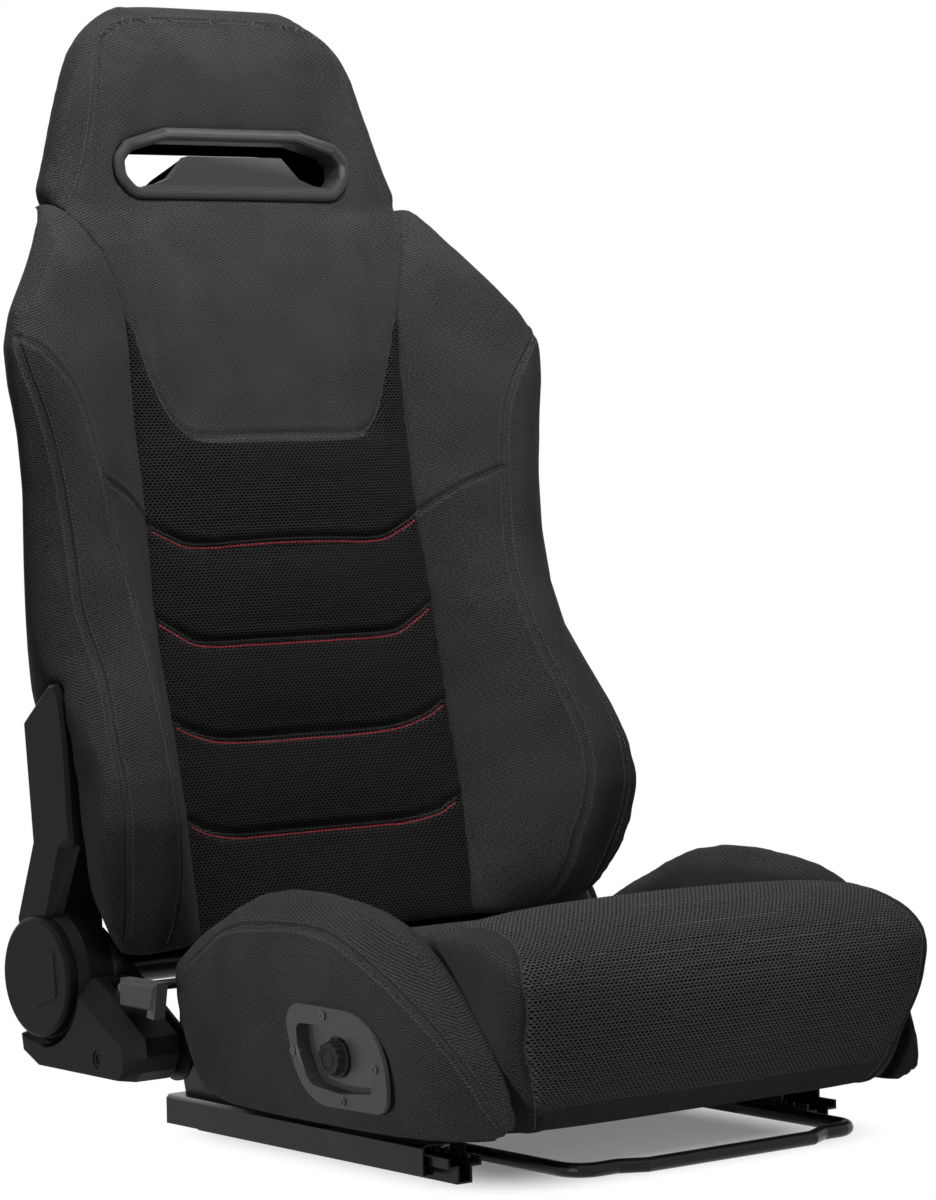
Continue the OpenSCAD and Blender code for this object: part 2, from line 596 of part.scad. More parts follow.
module arm_cover(side) {
    color(plastic) mirrored(side) difference() {
        union() {
            hull() {
                yz_plate(cover_in_x, cover_x - arm_bevel) arm_upper();
                yz_plate(cover_x - arm_bevel, cover_x - 3) arm_upper([[-44, 246.6], [-51, 251]]);
                yz_plate(cover_x - 3, cover_x) offset(delta = -3) arm_upper([[-28, 242], [-49.5, 254]]);
            }
            hull() {
                yz_plate(cover_in_x, cover_x - arm_bevel) arm_lower();
                yz_plate(cover_x - arm_bevel, cover_x) polygon([[pivot_y + 35.5, 180], [pivot_y + 31, 155],
                    [pivot_y + 4, 155], [pivot_y - 8, 190], [pivot_y - 31, 248], [pivot_y + 8, 248]]);
            }
            translate([cover_in_x, pivot_y, pivot_z]) rotate([0, 90, 0]) cylinder(h = 24, r = housing_r);
            translate([cover_in_x + 24, pivot_y, pivot_z]) rotate([0, 90, 0])
                cylinder(h = cover_x - cover_in_x - 24 - 3, r1 = housing_r, r2 = cap_r);
        }
        // Hollow inside behind the outer walls
        yz_plate(cover_in_x - 1, cover_x - cover_wall - 9) offset(delta = -cover_wall) arm_upper();
        yz_plate(cover_in_x - 1, cover_x - cover_wall - 12) offset(delta = -cover_wall) arm_lower();
        translate([cover_in_x - 1, pivot_y, pivot_z]) rotate([0, 90, 0]) cylinder(h = 24, r = housing_r - 4);
        // Seat of the hinge cap
        translate([cover_x - 3, pivot_y, pivot_z]) rotate([0, 90, 0]) cylinder(h = 20, r = cap_r - 0.5);
    }
}
module hinge_cap(side) {
    x0 = cover_x - 3;
    color(plastic) mirrored(side) translate([x0, pivot_y, pivot_z]) rotate([0, 90, 0]) {
        cylinder(h = cap_x - x0 - 3, r = cap_r - 1);
        translate([0, 0, cap_x - x0 - 3]) cylinder(h = 2, r1 = cap_r - 1, r2 = cap_r - 4);
        // Raised pad with rounded corners
        translate([0, 0, cap_x - x0 - 2]) linear_extrude(2) offset(r = 6) offset(delta = -6)
            polygon([[-24, 22], [-26, -30], [14, -34], [27, 0], [16, 26]]);
    }
}
lower_cover_x0 = 246;
lower_cover_x1 = cover_x + 2;
cover_outline = [[pivot_y + 36, 88], [pivot_y + 32, 66], [pivot_y + 6, 54], [156, 53], [145, 62], [138, 76],
    [141, 92], [214, 136], [pivot_y - 40, 132]];
cover_face = [[pivot_y + 33, 86], [pivot_y + 29, 66], [pivot_y + 5, 55], [164, 54.5], [157, 63], [156, 74],
    [159, 84], [219, 118], [pivot_y - 44, 122]];
plug_at = [194, 69.5];
module lower_cover(side) {
    color(plastic) mirrored(side) difference() {
        hull() {
            yz_plate(lower_cover_x0, lower_cover_x1 - 13) polygon(cover_outline);
            yz_plate(lower_cover_x1 - 13, lower_cover_x1) polygon(cover_face);
        }
        translate([cover_in_x - 22, pivot_y, pivot_z]) rotate([0, 90, 0]) cylinder(h = 80, r = housing_r + 2);
        // Hollow round the bracket, open towards the seat
        yz_plate(lower_cover_x0 - 1, lower_cover_x1 - 18) offset(delta = -cover_wall) polygon(cover_outline);
        x_rod(lower_cover_x1 - 20, lower_cover_x1 + 1, plug_at[0], plug_at[1], 16);
        // Room for the lever's hub
        if (side < 0) translate([lower_cover_x0 - 1, lever_y - 24, lever_z - 12]) cube([24, 40, 40]);
    }
}
module cover_plugs() {
    color(plastic) for (side = [-1, 1]) mirrored(side) difference() {
        x_rod(lower_cover_x1 - 6, lower_cover_x1 - 1, plug_at[0], plug_at[1], 15.8);
        x_rod(lower_cover_x1 - 2, lower_cover_x1, plug_at[0], plug_at[1], 9);
    }
}
lever_x0 = 262;
lever_x1 = 287;
paddle_t = 13;
lever_front_y = 112;
module recline_lever() {
    color(grey_plastic) mirrored(-1) {
        // Paddle with a turned-down front edge
        hull() {
            yz_plate(lever_x1 - paddle_t, lever_x1 - 3)
                polygon([[lever_front_y, 141], [168, 141], [168, 117], [lever_front_y + 6, 117]]);
            yz_plate(lever_x1 - paddle_t, lever_x1)
                polygon([[lever_front_y + 4, 137], [165, 136], [165, 119], [lever_front_y + 10, 119]]);
        }
        yz_plate(lever_x1 - paddle_t, lever_x1 - 2) polygon([[lever_front_y, 140], [lever_front_y + 10, 138],
            [lever_front_y + 17, 111], [lever_front_y + 6, 110]]);
        // Foot of the paddle on the steel plate
        yz_plate(lever_x0 + 2, lever_x1 - paddle_t + 1)
            polygon([[142, 138], [166, 137], [166, 119], [142, 119]]);
    }
    color(black_steel) {
        yz_plate(-lever_x0 - 2.5, -lever_x0 + 1.5) hull() {
            translate([lever_y, lever_z]) circle(r = 9);
            translate([150, 129]) circle(r = 8);
        }
        // Rod across the seat that also frees the other recliner
        x_rod(-lever_x0, frame_x + plate_t + 14, lever_y, lever_z, rod_d);
    }
}
module lever_bolt() {
    color(bare_steel) difference() {
        x_rod(-lever_x0 - 7, -lever_x0 - 2.5, lever_y, lever_z, 10);
        x_rod(-lever_x0 - 8, -lever_x0 - 5, lever_y, lever_z, 5);
    }
}

// ---- backrest --------------------------------------------------------------------------

// Front face of the back along its middle: [height, place along Y]
centre_line = [[150, 245], [239, 263], [323, 284], [408, 293], [495, 302], [590, 314], [700, 345],
    [800, 374], [872, 386], [940, 394], [1000, 404]];
// Seam between the centre pad and the wing
inner_seam = [[150, [149, 238]], [255, [153, 256]], [342, [153, 276]], [440, [153, 298]],
    [530, [148, 314]], [620, [149, 328]], [700, [150, 335]], [770, [169, 350]], [800, [190, 380]]];
// Crest of the side wing, where the seam nearest the driver runs
ridge = [[150, [208, 216]], [170, [212, 196]], [200, [215, 178]], [220, [217, 171]], [242, [222, 164]],
    [274, [226, 159]], [308, [227, 166]], [344, [223, 183]], [392, [216, 211]], [420, [213, 226]],
    [445, [212, 239]], [470, [213, 251]], [500, [216, 260]], [558, [222, 270]], [612, [232, 279]],
    [645, [244, 282]], [684, [256, 294]], [705, [249, 307]], [730, [236, 321]], [770, [205, 347]],
        [800, [190, 387]]];
// Second seam, on the outside of the crest
outer_seam = [[150, [232, 214]], [170, [252, 200]], [190, [262, 190]], [220, [268, 179]], [242, [272, 171]],
    [274, [275, 166]], [308, [275, 173]], [344, [270, 192]], [392, [260, 222]], [420, [258, 241]],
    [445, [259, 252]], [470, [259, 261]], [500, [259, 267]], [558, [263, 276]], [612, [272, 284]],
    [655, [284, 291]], [684, [288, 302]], [705, [277, 314]], [730, [255, 325]], [770, [219, 350]],
        [800, [198, 388]]];
// Outermost point of the wing
wing_edge = [[150, [246, 222]], [170, [268, 206]], [206, [285, 188]], [258, [295, 181]], [300, [292, 188]],
    [357, [290, 229]], [411, [289, 277]], [469, [286, 297]], [545, [284, 301]], [592, [287, 302]],
    [644, [292, 307]], [690, [289, 317]], [728, [264, 333]], [770, [226, 361]], [800, [200, 391]]];
// Corner where the wing's side turns to the rear
wing_corner = [[150, [218, 262]], [164, [232, 256]], [188, [245, 263]], [213, [250, 272]], [258, [253, 296]],
    [300, [255, 312]], [345, [258, 326]], [386, [262, 335]], [438, [258, 338]], [525, [254, 341]],
    [594, [258, 342]], [646, [265, 352]], [690, [263, 357]], [741, [236, 366]], [789, [206, 382]],
        [800, [202, 396]]];
// Half width of the rear cover and depth of the back behind its middle
rear_half = [[150, 186], [300, 196], [500, 194], [600, 194], [690, 192], [740, 172], [800, 146]];
back_depth = [[150, 92], [300, 98], [500, 98], [690, 88], [800, 74], [1000, 60]];
function edge_at(z) = let(p = along(wing_edge, z), w = z < 460 ? waist_half_w - 297 : shoulder_half_w - 292)
    [p[0] + w, p[1]];
function rear_y(z) = along(centre_line, z) + along(back_depth, z);

wing_t = 30;
function wing_ring(z) = let(
    v = along(inner_seam, z) + [soft_gap, 0], p = along(ridge, z), o = along(outer_seam, z), e = edge_at(z),
    m = along(wing_corner, z), b = [along(rear_half, z), rear_y(z) - 2.5],
        crown = 7 * clamp01((800 - z) / 60))
    [for (s = concat(
            smooth([v, (v + p) / 2 + [-2, -2], p, (p + o) / 2 - [0, crown], o, e, m, b], 3),
            [[b[0] - 13, b[1]], [min(m[0] - 24, 232), m[1] + 12],
            [min((p[0] + e[0]) / 2 - 18, 230), max(e[1] + 26, p[1] + 30)],
            [v[0] + 12, v[1] + wing_t + 4], [v[0], v[1] + wing_t]]))
        [s[0], s[1], z]];
module back_wing(side) {
    zs = [150, 160, 176, 200, 235, 270, 305, 340, 375, 410, 450, 500, 550, 600, 640, 675, 705, 735, 762,
        785, 798];
    color(fabric) mirrored(side) difference() {
        loft([for (z = zs) wing_ring(z)], clockwise = true);
        // Pocket for the arm's steel plate and its cover
        yz_plate(back_plate_x - 1.5, back_plate_x + plate_t + 1.5) offset(delta = 1.2) plate_outline();
        yz_plate(back_plate_x - 1.5, back_plate_x + 90) offset(delta = 1.2) arm_upper();
        yz_plate(back_plate_x - 1.5, back_plate_x + 90) offset(delta = 1.2) arm_lower();
        translate([bracket_x - 1, pivot_y, pivot_z]) rotate([0, 90, 0]) cylinder(h = 90, r = housing_r + 1.5);
    }
}

panel_z = 588;                               // height of the seam under the plain upper panel
knee_x = 100;
knee_rise = 20;
pad_low_z = 150;
function smile(x) = knee_rise * clamp01((abs(x) - knee_x) / 50);
channel_z = [for (k = [0:3]) 239 + k * channel_pitch];
function groove(z) = let(d = min([for (c = channel_z) abs(z - c)]))
    channel_depth * exp(-pow(d / 6, 2)) - 4 * (1 - exp(-pow(d / 22, 2)));
function centre_point(x, z, sunk) = let(v = along(inner_seam, z), c = along(centre_line, z),
    u = abs(x) / v[0])
    [x, c + (v[1] - c) * u * u + sunk * (1 - pow(u, 6)), z];
// One ring of the centre pad: its height follows the seams, which rise towards the sides
function pad_slice(z, sunk) = let(
    rise = z > panel_z - 1 || z < pad_low_z + 1 ? 0 : 1, h = along(inner_seam, z + knee_rise * rise)[0])
    concat([for (u = [-1, -0.93, -0.8, -0.64, -0.4, 0, 0.4, 0.64, 0.8, 0.93, 1])
        let(x = u * h, t = z + smile(x) * rise)
            centre_point(x, t, sunk)],
        [for (u = [1, 0.5, 0, -0.5, -1]) let(x = u * h, t = z + smile(x) * rise)
            centre_point(x, t, 0) + [0, back_pad_t, 0]]);
module back_centre_pad() {
    steps = [-22, -9, -4, 0, 4, 9, 22];
    zs = concat([pad_low_z, 185], [for (c = channel_z, s = steps) c + s], [545, panel_z]);
    color(mesh_fabric) loft([for (z = zs) pad_slice(z, groove(z))], clockwise = true);
}

// Half width of the head: [height, half width]
head_side = [[800, 200], [830, 189], [860, 179.5], [896, 167.5], [925, 157.5], [945, 147], [960, 134],
    [970, 122],
    [978, 109], [984, 97], [987, 84]];
slot_lean = 5.4;
function head_half(z) = z < 800 ? along(inner_seam, z)[0] : along(head_side, z + 987 - head_top_z);
// The head's ring: rounded front corners, tapered sides
function head_ring(z, wide) = let(
    h = wide ? head_half(z) : along(inner_seam, min(z, 800))[0], c = along(centre_line, z),
    t = wide ? along(back_depth, z) + rear_cover_t : back_pad_t * (1 - 0.5 * clamp01((z - 730) / 60)),
        top = clamp01((z - 930) / (head_top_z - 930)),
    in = 26 * pow(top, 3), v = along(inner_seam, min(z, 800))[1], edge = wide ? c + 24 : v,
    xs = [-0.98, -0.93, -0.8, -0.5, 0, 0.5, 0.8, 0.93, 0.98])
    concat([[-h, edge, z]], [for (u = xs) [u * h,
        wide ? c + in + 14 * pow(abs(u), 10) + 2 * u * u : c + (v - c) * u * u, z]],
        [[h, edge, z]], wide ? [[h * 0.97, c + t * 0.6, z], [h * 0.78, c + t - in - 6, z],
            [h * 0.5, c + t - in, z],
            [-h * 0.5, c + t - in, z], [-h * 0.78, c + t - in - 6, z], [-h * 0.97, c + t * 0.6, z]]
        : [[h * 0.97, v + t * 0.6, z], [h * 0.9, v + t, z], [h * 0.5, c + t, z], [-h * 0.5, c + t, z],
            [-h * 0.9, v + t, z], [-h * 0.97, v + t * 0.6, z]]);
module head_pad() {
    low = [for (z = [panel_z + soft_gap, 620, 655, 690, 720, 745, 768, 785, 798]) head_ring(z, false)];
    high = [for (z = [799.5, 815, 835, 860, 885, 905, 925, 943, 957, 968, 977, 983, 987])
        head_ring(z - 987 + max(head_top_z, 987), true)];
    color(fabric) difference() {
        loft(concat(low, high), clockwise = true);
        slot_place() translate([0, 0, -150]) linear_extrude(300) slot_outline(-3);
        slot_place() translate([0, 0, -0.4]) linear_extrude(40) slot_outline(0.8);
    }
}

// Places a drawing of the slot in the leaning plane of the head's face
module slot_place() { translate([0, along(centre_line, slot_z), slot_z]) rotate([90 - slot_lean, 0, 0])
    children(); }
slot_top_half = 74;
slot_low_half = 113;
slot_h2 = slot_h / 2;
slot_corners = [[slot_low_half, -slot_h2, 22], [slot_half_w, -slot_h2 + 18, 19],
    [slot_half_w + 1, slot_h2 - 27, 15], [slot_half_w - 13, slot_h2 - 12, 17], [slot_top_half, slot_h2, 5]];
slot_path = rounded(concat(slot_corners,
    [for (i = [len(slot_corners) - 1:-1:0]) let(c = slot_corners[i]) [-c[0], c[1], c[2]]]), 3);
module slot_outline(grow) { offset(delta = grow) polygon(slot_path); }
// Solid bead along the slot: profile of [distance in from the outline, height], anticlockwise
module slot_bead(profile) {
    n = len(slot_path);
    k = len(profile);
    points = [for (i = [0:n - 1]) let(
        a = unit(slot_path[i] - slot_path[(i + n - 1) % n]), b = unit(slot_path[(i + 1) % n] - slot_path[i]),
        t = unit(a + b), m = [-t[1], t[0]] / (t * b))
        for (p = profile) [slot_path[i][0] + m[0] * p[0], slot_path[i][1] + m[1] * p[0], p[1]]];
    polyhedron(points, [for (i = [0:n - 1], j = [0:k - 1]) let(
        a = i * k + j, b = i * k + (j + 1) % k, c = ((i + 1) % n) * k + (j + 1) % k,
            d = ((i + 1) % n) * k + j)
        each [[a, b, c], [a, c, d]]], convexity = 6);
}

slot_front = 5;                              // how far the front bezel stands out of the fabric
plate_top_half = 52;
plate_low_half = 102;
plate_top = 7;
module slot_bezel_front() {
    color(plastic) slot_place() {
        // Ring with a rounded lip on the fabric
        slot_bead([[0, 0], [0, 1.6], [1.2, 3.4], [3.2, slot_front - 0.4], [slot_ring / 2, slot_front],
            [slot_ring - 3.2, slot_front - 0.6], [slot_ring - 1, 2.6], [slot_ring, 0], [slot_ring, -22],
                [4, -22], [4, 0]]);
        // Plate across the lower middle of the opening
        translate([0, 0, -8]) linear_extrude(8 + slot_front - 1.6) intersection() {
            slot_outline(-slot_ring + 1.5);
            polygon(both_sides([[plate_low_half, -slot_h], [plate_low_half, -slot_h2 + 12],
                [plate_low_half - 16, -slot_h2 + 15], [plate_top_half + 19, -slot_h2 + 20.5],
                    [plate_top_half, plate_top]]));
        }
    }
}
slot_depth = along(back_depth, slot_z) + rear_cover_t;
module slot_bezel_rear() {
    color(plastic) slot_place() {
        translate([0, 0, -slot_depth - 3]) linear_extrude(slot_depth - 20) difference() {
            slot_outline(-4);
            slot_outline(-slot_ring + 3);
        }
        translate([0, 0, -slot_depth - 6]) linear_extrude(4) difference() {
            slot_outline(1);
            slot_outline(-slot_ring + 3);
        }
        // Roof that comes down to the rear
        intersection() {
            translate([0, 0, -slot_depth - 5.2]) linear_extrude(slot_depth - 18.6) slot_outline(-5.4);
            hull() {
                translate([-slot_half_w, slot_h2 - 8.5, -24]) cube([2 * slot_half_w, 8, 1]);
                translate([-slot_half_w, slot_h2 - 12, -slot_depth - 5.6]) cube([2 * slot_half_w, 11, 1]);
            }
        }
        // Tongue behind the front plate, lower towards the rear
        intersection() {
            union() {
                translate([0, 0, -60]) linear_extrude(60 - 23.4) slot_outline(-5.8);
                translate([0, 0, -24]) linear_extrude(24 - 8.4) slot_outline(-slot_ring - 0.6);
            }
            hull() {
                translate([0, 0, -10]) linear_extrude(1)
                    polygon(both_sides([[plate_low_half - 16, -slot_h2],
                        [plate_top_half - 1, plate_top - 1]]));
                translate([0, 0, -60]) linear_extrude(1)
                    polygon(both_sides([[plate_low_half - 16, -slot_h2],
                        [plate_top_half - 1, plate_top - 13]]));
            }
        }
    }
}

cover_low_z = 176;
cover_crown = 7;
function cover_ring(z) = let(h = along(rear_half, z) + 3, y = rear_y(z))
    [for (p = concat([for (u = [-1, -0.9, -0.6, 0, 0.6, 0.9, 1])
            [u * h, y + rear_cover_t + cover_crown * (1 - pow(abs(u), 2.4))]],
        [for (u = [1, 0.6, 0, -0.6, -1]) [u * h, y + cover_crown * (1 - pow(abs(u), 2.4)) * 0.9]])) [p[0],
            p[1], z]];
module rear_cover() {
    color(fabric) loft([for (z = [cover_low_z, 185, 240, 320, 420, 520, 620, 690, 730, 765, 798])
        cover_ring(z)]);
}

// Tube hoop of the back, as straight runs with a ball at each bend
hoop_half = 168;
hoop_keys = [[hoop_half - 6, pivot_z, 0], [hoop_half, 300, 70], [hoop_half, 560, 70],
    [hoop_half - 24, 690, 64], [90, 764, 60]];
function hoop_point(i, s) = let(p = hoop_keys[i])
    [s * p[0], i == 0 ? pivot_y : along(centre_line, p[1]) + p[2], p[1]];
function hoop_y(z) = lookup(z, [for (i = [0:len(hoop_keys) - 1]) [hoop_keys[i][1], hoop_point(i, 1)[1]]]);
module tube_between(a, b, d) {
    v = b - a;
    translate(a) rotate([0, acos(v[2] / norm(v)), atan2(v[1], v[0])]) cylinder(h = norm(v), d = d);
}
module back_hoop() {
    last = len(hoop_keys) - 1;
    color(black_steel) {
        for (s = [-1, 1]) {
            for (i = [0:last - 1]) tube_between(hoop_point(i, s), hoop_point(i + 1, s), hoop_d);
            for (i = [1:last]) translate(hoop_point(i, s)) sphere(d = hoop_d + 1.2);
        }
        tube_between(hoop_point(last, -1), hoop_point(last, 1), hoop_d);
    }
}
torque_d = 28;
module back_torque_tube() {
    color(black_steel) {
        // Shafts through the two discs, welded into the tube
        for (side = [-1, 1]) mirrored(side)
            x_rod(bracket_x - 6, back_plate_x + plate_t, pivot_y, pivot_z, shaft_d);
        difference() {
            x_rod(-bracket_x + 6, bracket_x - 6, pivot_y, pivot_z, torque_d);
            for (s = [-1, 1]) tube_between(hoop_point(0, s), hoop_point(1, s), hoop_d);
        }
    }
}
strap_z = [330, 430, 530, 630];
strap_t = 2;
function strap_y(z) = hoop_y(z) - hoop_d / 2 - 2.4 - strap_t;
module back_cross_straps() {
    color(bare_steel) for (z = strap_z) translate([-hoop_half - 8, strap_y(z), z - 9])
        cube([2 * hoop_half + 16, strap_t, 18]);
}

haptic_d = 58;
haptic_t = 8.4;
haptic_wire_y = [-90, 40];
module haptics_back() {
    color(plastic) for (s = [-1, 1], z = [strap_z[0], strap_z[2]])
        translate([s * 62, strap_y(z) - haptic_t, z]) rotate([-90, 0, 0])
            cylinder(h = haptic_t - 0.1, d = haptic_d);
}
module haptics_seat() {
    color(plastic) for (s = [-1, 1], y = haptic_wire_y)
        translate([s * 92, y, spring_z - spring_wire / 2 - 0.1 - haptic_t])
            cylinder(h = haptic_t, d = haptic_d);
}

lower_rail(-1);  // lower_rail_left
lower_rail(1);  // lower_rail_right
upper_rail(-1);  // upper_rail_left
upper_rail(1);  // upper_rail_right
ball_cage(-1);  // ball_cage_left
ball_cage(1);  // ball_cage_right
release_bar();
latch_brackets();
side_frame(-1);  // side_frame_left
side_frame(1);  // side_frame_right
front_cross_tube();
rear_cross_tube();
cushion_springs();
frame_bolts();
cushion_pad();
bolster(-1);  // bolster_left
bolster(1);  // bolster_right
control_bezel();
bezel_screws();
control_module();
control_knob();
recliner_bracket(-1);  // recliner_bracket_left
recliner_bracket(1);  // recliner_bracket_right
recliner_disc(-1);  // recliner_disc_left
recliner_disc(1);  // recliner_disc_right
lower_cover(-1);  // lower_cover_left
lower_cover(1);  // lower_cover_right
cover_plugs();
recline_lever();
lever_bolt();
recliner_hub(-1);  // recliner_hub_left
recliner_hub(1);  // recliner_hub_right
back_plate(-1);  // back_plate_left
back_plate(1);  // back_plate_right
back_hoop();
back_torque_tube();
back_cross_straps();
arm_cover(-1);  // arm_cover_left
arm_cover(1);  // arm_cover_right
hinge_cap(-1);  // hinge_cap_left
hinge_cap(1);  // hinge_cap_right
back_centre_pad();
head_pad();
back_wing(-1);  // back_wing_left
back_wing(1);  // back_wing_right
rear_cover();
slot_bezel_front();
slot_bezel_rear();
haptics_back();
haptics_seat();
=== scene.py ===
import bpy
import bmesh
import math
import numpy as np
from mathutils import Matrix, Vector
from mathutils.bvhtree import BVHTree
from mathutils.kdtree import KDTree


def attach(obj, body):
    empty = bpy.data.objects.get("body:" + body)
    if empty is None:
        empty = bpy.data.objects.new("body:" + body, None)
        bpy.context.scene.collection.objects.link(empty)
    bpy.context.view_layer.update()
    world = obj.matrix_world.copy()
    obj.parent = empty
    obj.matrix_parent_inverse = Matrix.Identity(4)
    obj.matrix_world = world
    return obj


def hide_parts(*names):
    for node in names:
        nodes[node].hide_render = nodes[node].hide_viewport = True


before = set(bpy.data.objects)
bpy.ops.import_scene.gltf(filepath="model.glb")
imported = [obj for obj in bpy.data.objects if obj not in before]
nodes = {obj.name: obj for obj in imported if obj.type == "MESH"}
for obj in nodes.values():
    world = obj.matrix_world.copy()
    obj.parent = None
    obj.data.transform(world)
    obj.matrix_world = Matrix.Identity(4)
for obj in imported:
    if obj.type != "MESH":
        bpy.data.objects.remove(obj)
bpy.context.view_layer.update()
bpy.ops.object.select_all(action="DESELECT")
mm = 0.001
print("frame loaded")

# Camera

camera = {
    "azimuth": -38.1,  # degrees, measured from the seat's front
    "elevation": 2.6,
    "roll": -1.13,
    "distance": 3.709,  # metres from the target
    "target": (0, 0.046, 0.45),
    "lensMm": 129.75,
    "sensorMm": 36,
    "reach": 50,  # metres, the furthest that it sees
}


def placeCamera(settings):
    turn, rise = math.radians(settings["azimuth"]), math.radians(settings["elevation"])
    back = Vector((math.sin(turn) * math.cos(rise), -math.cos(turn) * math.cos(rise), math.sin(rise)))
    data = bpy.data.cameras.new("camera")
    data.lens = settings["lensMm"]
    data.sensor_width = settings["sensorMm"]
    data.clip_end = settings["reach"]
    view = bpy.data.objects.new("camera", data)
    bpy.context.scene.collection.objects.link(view)
    tilt = Matrix.Rotation(math.radians(settings["roll"]), 4, "Z")
    view.matrix_world = (
        Matrix.Translation(Vector(settings["target"]) + back * settings["distance"])
        @ (-back).to_track_quat("-Z", "Y").to_matrix().to_4x4()
        @ tilt
    )
    bpy.context.scene.camera = view


placeCamera(camera)

# Shared helpers for materials


def linear(hexColour):
    channels = [int(hexColour[i : i + 2], 16) / 255 for i in (0, 2, 4)]
    return [c / 12.92 if c <= 0.04045 else ((c + 0.055) / 1.055) ** 2.4 for c in channels] + [1.0]


def addNode(tree, kind, inputs=None, **settings):
    node = tree.nodes.new(kind)
    for key, value in settings.items():
        setattr(node, key, value)
    for key, value in (inputs or {}).items():
        if isinstance(value, bpy.types.NodeSocket):
            tree.links.new(value, node.inputs[key])
        else:
            node.inputs[key].default_value = value
    return node


def newMaterial(name, shaderInputs):
    material = bpy.data.materials.new(name)
    material.use_nodes = True
    tree = material.node_tree
    tree.nodes.clear()
    shader = addNode(tree, "ShaderNodeBsdfPrincipled", shaderInputs)
    addNode(tree, "ShaderNodeOutputMaterial", {"Surface": shader.outputs["BSDF"]})
    return material, tree, shader


def calc(tree, operation, *values):
    return addNode(tree, "ShaderNodeMath", dict(enumerate(values)), operation=operation).outputs[0]


def calcVector(tree, operation, *values):
    node = addNode(tree, "ShaderNodeVectorMath", dict(enumerate(values)), operation=operation)
    return node.outputs["Value" if operation in ("DISTANCE", "LENGTH") else "Vector"]


def between(tree, value, low, high, **settings):
    # Where a value lies from low to high, as 0 to 1
    inputs = {"Value": value, "From Min": low, "From Max": high}
    return addNode(tree, "ShaderNodeMapRange", inputs, **settings).outputs[0]


def noise(tree, place, scale, detail):
    inputs = {"Vector": place, "Scale": scale, "Detail": detail}
    return addNode(tree, "ShaderNodeTexNoise", inputs).outputs[0]


def blend(tree, factor, first, second):
    inputs = {"Factor": factor, 6: first, 7: second}
    return addNode(tree, "ShaderNodeMix", inputs, data_type="RGBA").outputs[2]


def setColour(tree, shader, colour):
    tree.links.new(colour, shader.inputs["Base Color"])


def emboss(tree, shader, height, strength, depth):
    bump = addNode(tree, "ShaderNodeBump", {"Height": height, "Strength": strength, "Distance": depth})
    tree.links.new(bump.outputs[0], shader.inputs["Normal"])


def wavePair(tree, across, along):
    # Product of two waves, which gives small raised cells in rows
    return calc(tree, "MULTIPLY", calc(tree, "SINE", across), calc(tree, "SINE", along))


# Polyester twill, woven and matt: fine diagonal ribs of two greys that break the light into specks

twill = {
    "dark": "161516",
    "darkAt": 0.34,
    "light": "5c595a",
    "lightAt": 0.92,
    "ribMm": 2.3,  # drawn coarser than the thread, which would not show
    "crossMm": 2.9,
    "lean": 0.45,  # how far the ribs lean from upright
    "cellShare": 0.3,
    "fuzzMm": 1.3,
    "patchMm": 60,
    "patchShare": 0.25,
    "bump": 0.4,
    "bumpDepth": 0.0006,
}


def twillPattern(tree, settings):
    uv = addNode(tree, "ShaderNodeUVMap", uv_map="weave").outputs[0]
    split = addNode(tree, "ShaderNodeSeparateXYZ", {0: uv})
    turns = 2 * math.pi / (settings["ribMm"] * mm)
    crossTurns = 2 * math.pi / (settings["crossMm"] * mm)
    lean = calc(tree, "MULTIPLY_ADD", split.outputs[0], settings["lean"], split.outputs[1])
    rib = calc(tree, "MULTIPLY", lean, turns)
    cells = wavePair(tree, rib, calc(tree, "MULTIPLY", split.outputs[0], crossTurns))
    grain = noise(tree, uv, 1 / (settings["fuzzMm"] * mm), 1.0)
    return uv, calc(tree, "MULTIPLY_ADD", cells, settings["cellShare"], grain)


def twillColour(tree, settings, uv, pattern):
    patch = noise(tree, uv, 1 / (settings["patchMm"] * mm), 2.0)
    level = calc(tree, "MULTIPLY_ADD", patch, settings["patchShare"], pattern)
    tones = addNode(tree, "ShaderNodeValToRGB", {0: level})
    for stop, tone in zip(tones.color_ramp.elements, ("dark", "light")):
        stop.position, stop.color = settings[tone + "At"], linear(settings[tone])
    return tones.outputs[0]


clothShader = {"Roughness": 0.95, "Specular IOR Level": 0.05, "Sheen Weight": 0.02, "Sheen Roughness": 0.6}


def makeTwill(settings):
    material, tree, shader = newMaterial("twillCloth", clothShader)
    uv, pattern = twillPattern(tree, settings)
    setColour(tree, shader, twillColour(tree, settings, uv, pattern))
    emboss(tree, shader, pattern, settings["bump"], settings["bumpDepth"])
    return material


# Knitted spacer mesh: a thick open knit with staggered holes between raised ribs

mesh = {
    "pitchXMm": 4.4,
    "pitchYMm": 2.6,
    "holeSize": 0.33,  # this and its rim in pitches
    "rimInside": 0.14,
    "rimOutside": 0.2,
    # Yarn and hole colours are darker than the knit's own tone, as painted shade on the back's insert
    "yarnDark": "1f1f1f",
    "yarnLight": "484747",
    "yarnScale": 900.0,
    "hole": "060606",
    "bump": 0.9,
    "bumpDepth": 0.0009,
    "twillShare": 0.35,  # height of the twill beside it in the same cover
    "border": 0.0004,  # metres from where the one cloth starts to where the other is full
}
# A lit copy of the same knit for the cushion: yarn and hole colours made lighter, as painted light on the
# seat
litSeatMesh = dict(mesh, yarnDark="414041", yarnLight="878586", hole="101010")


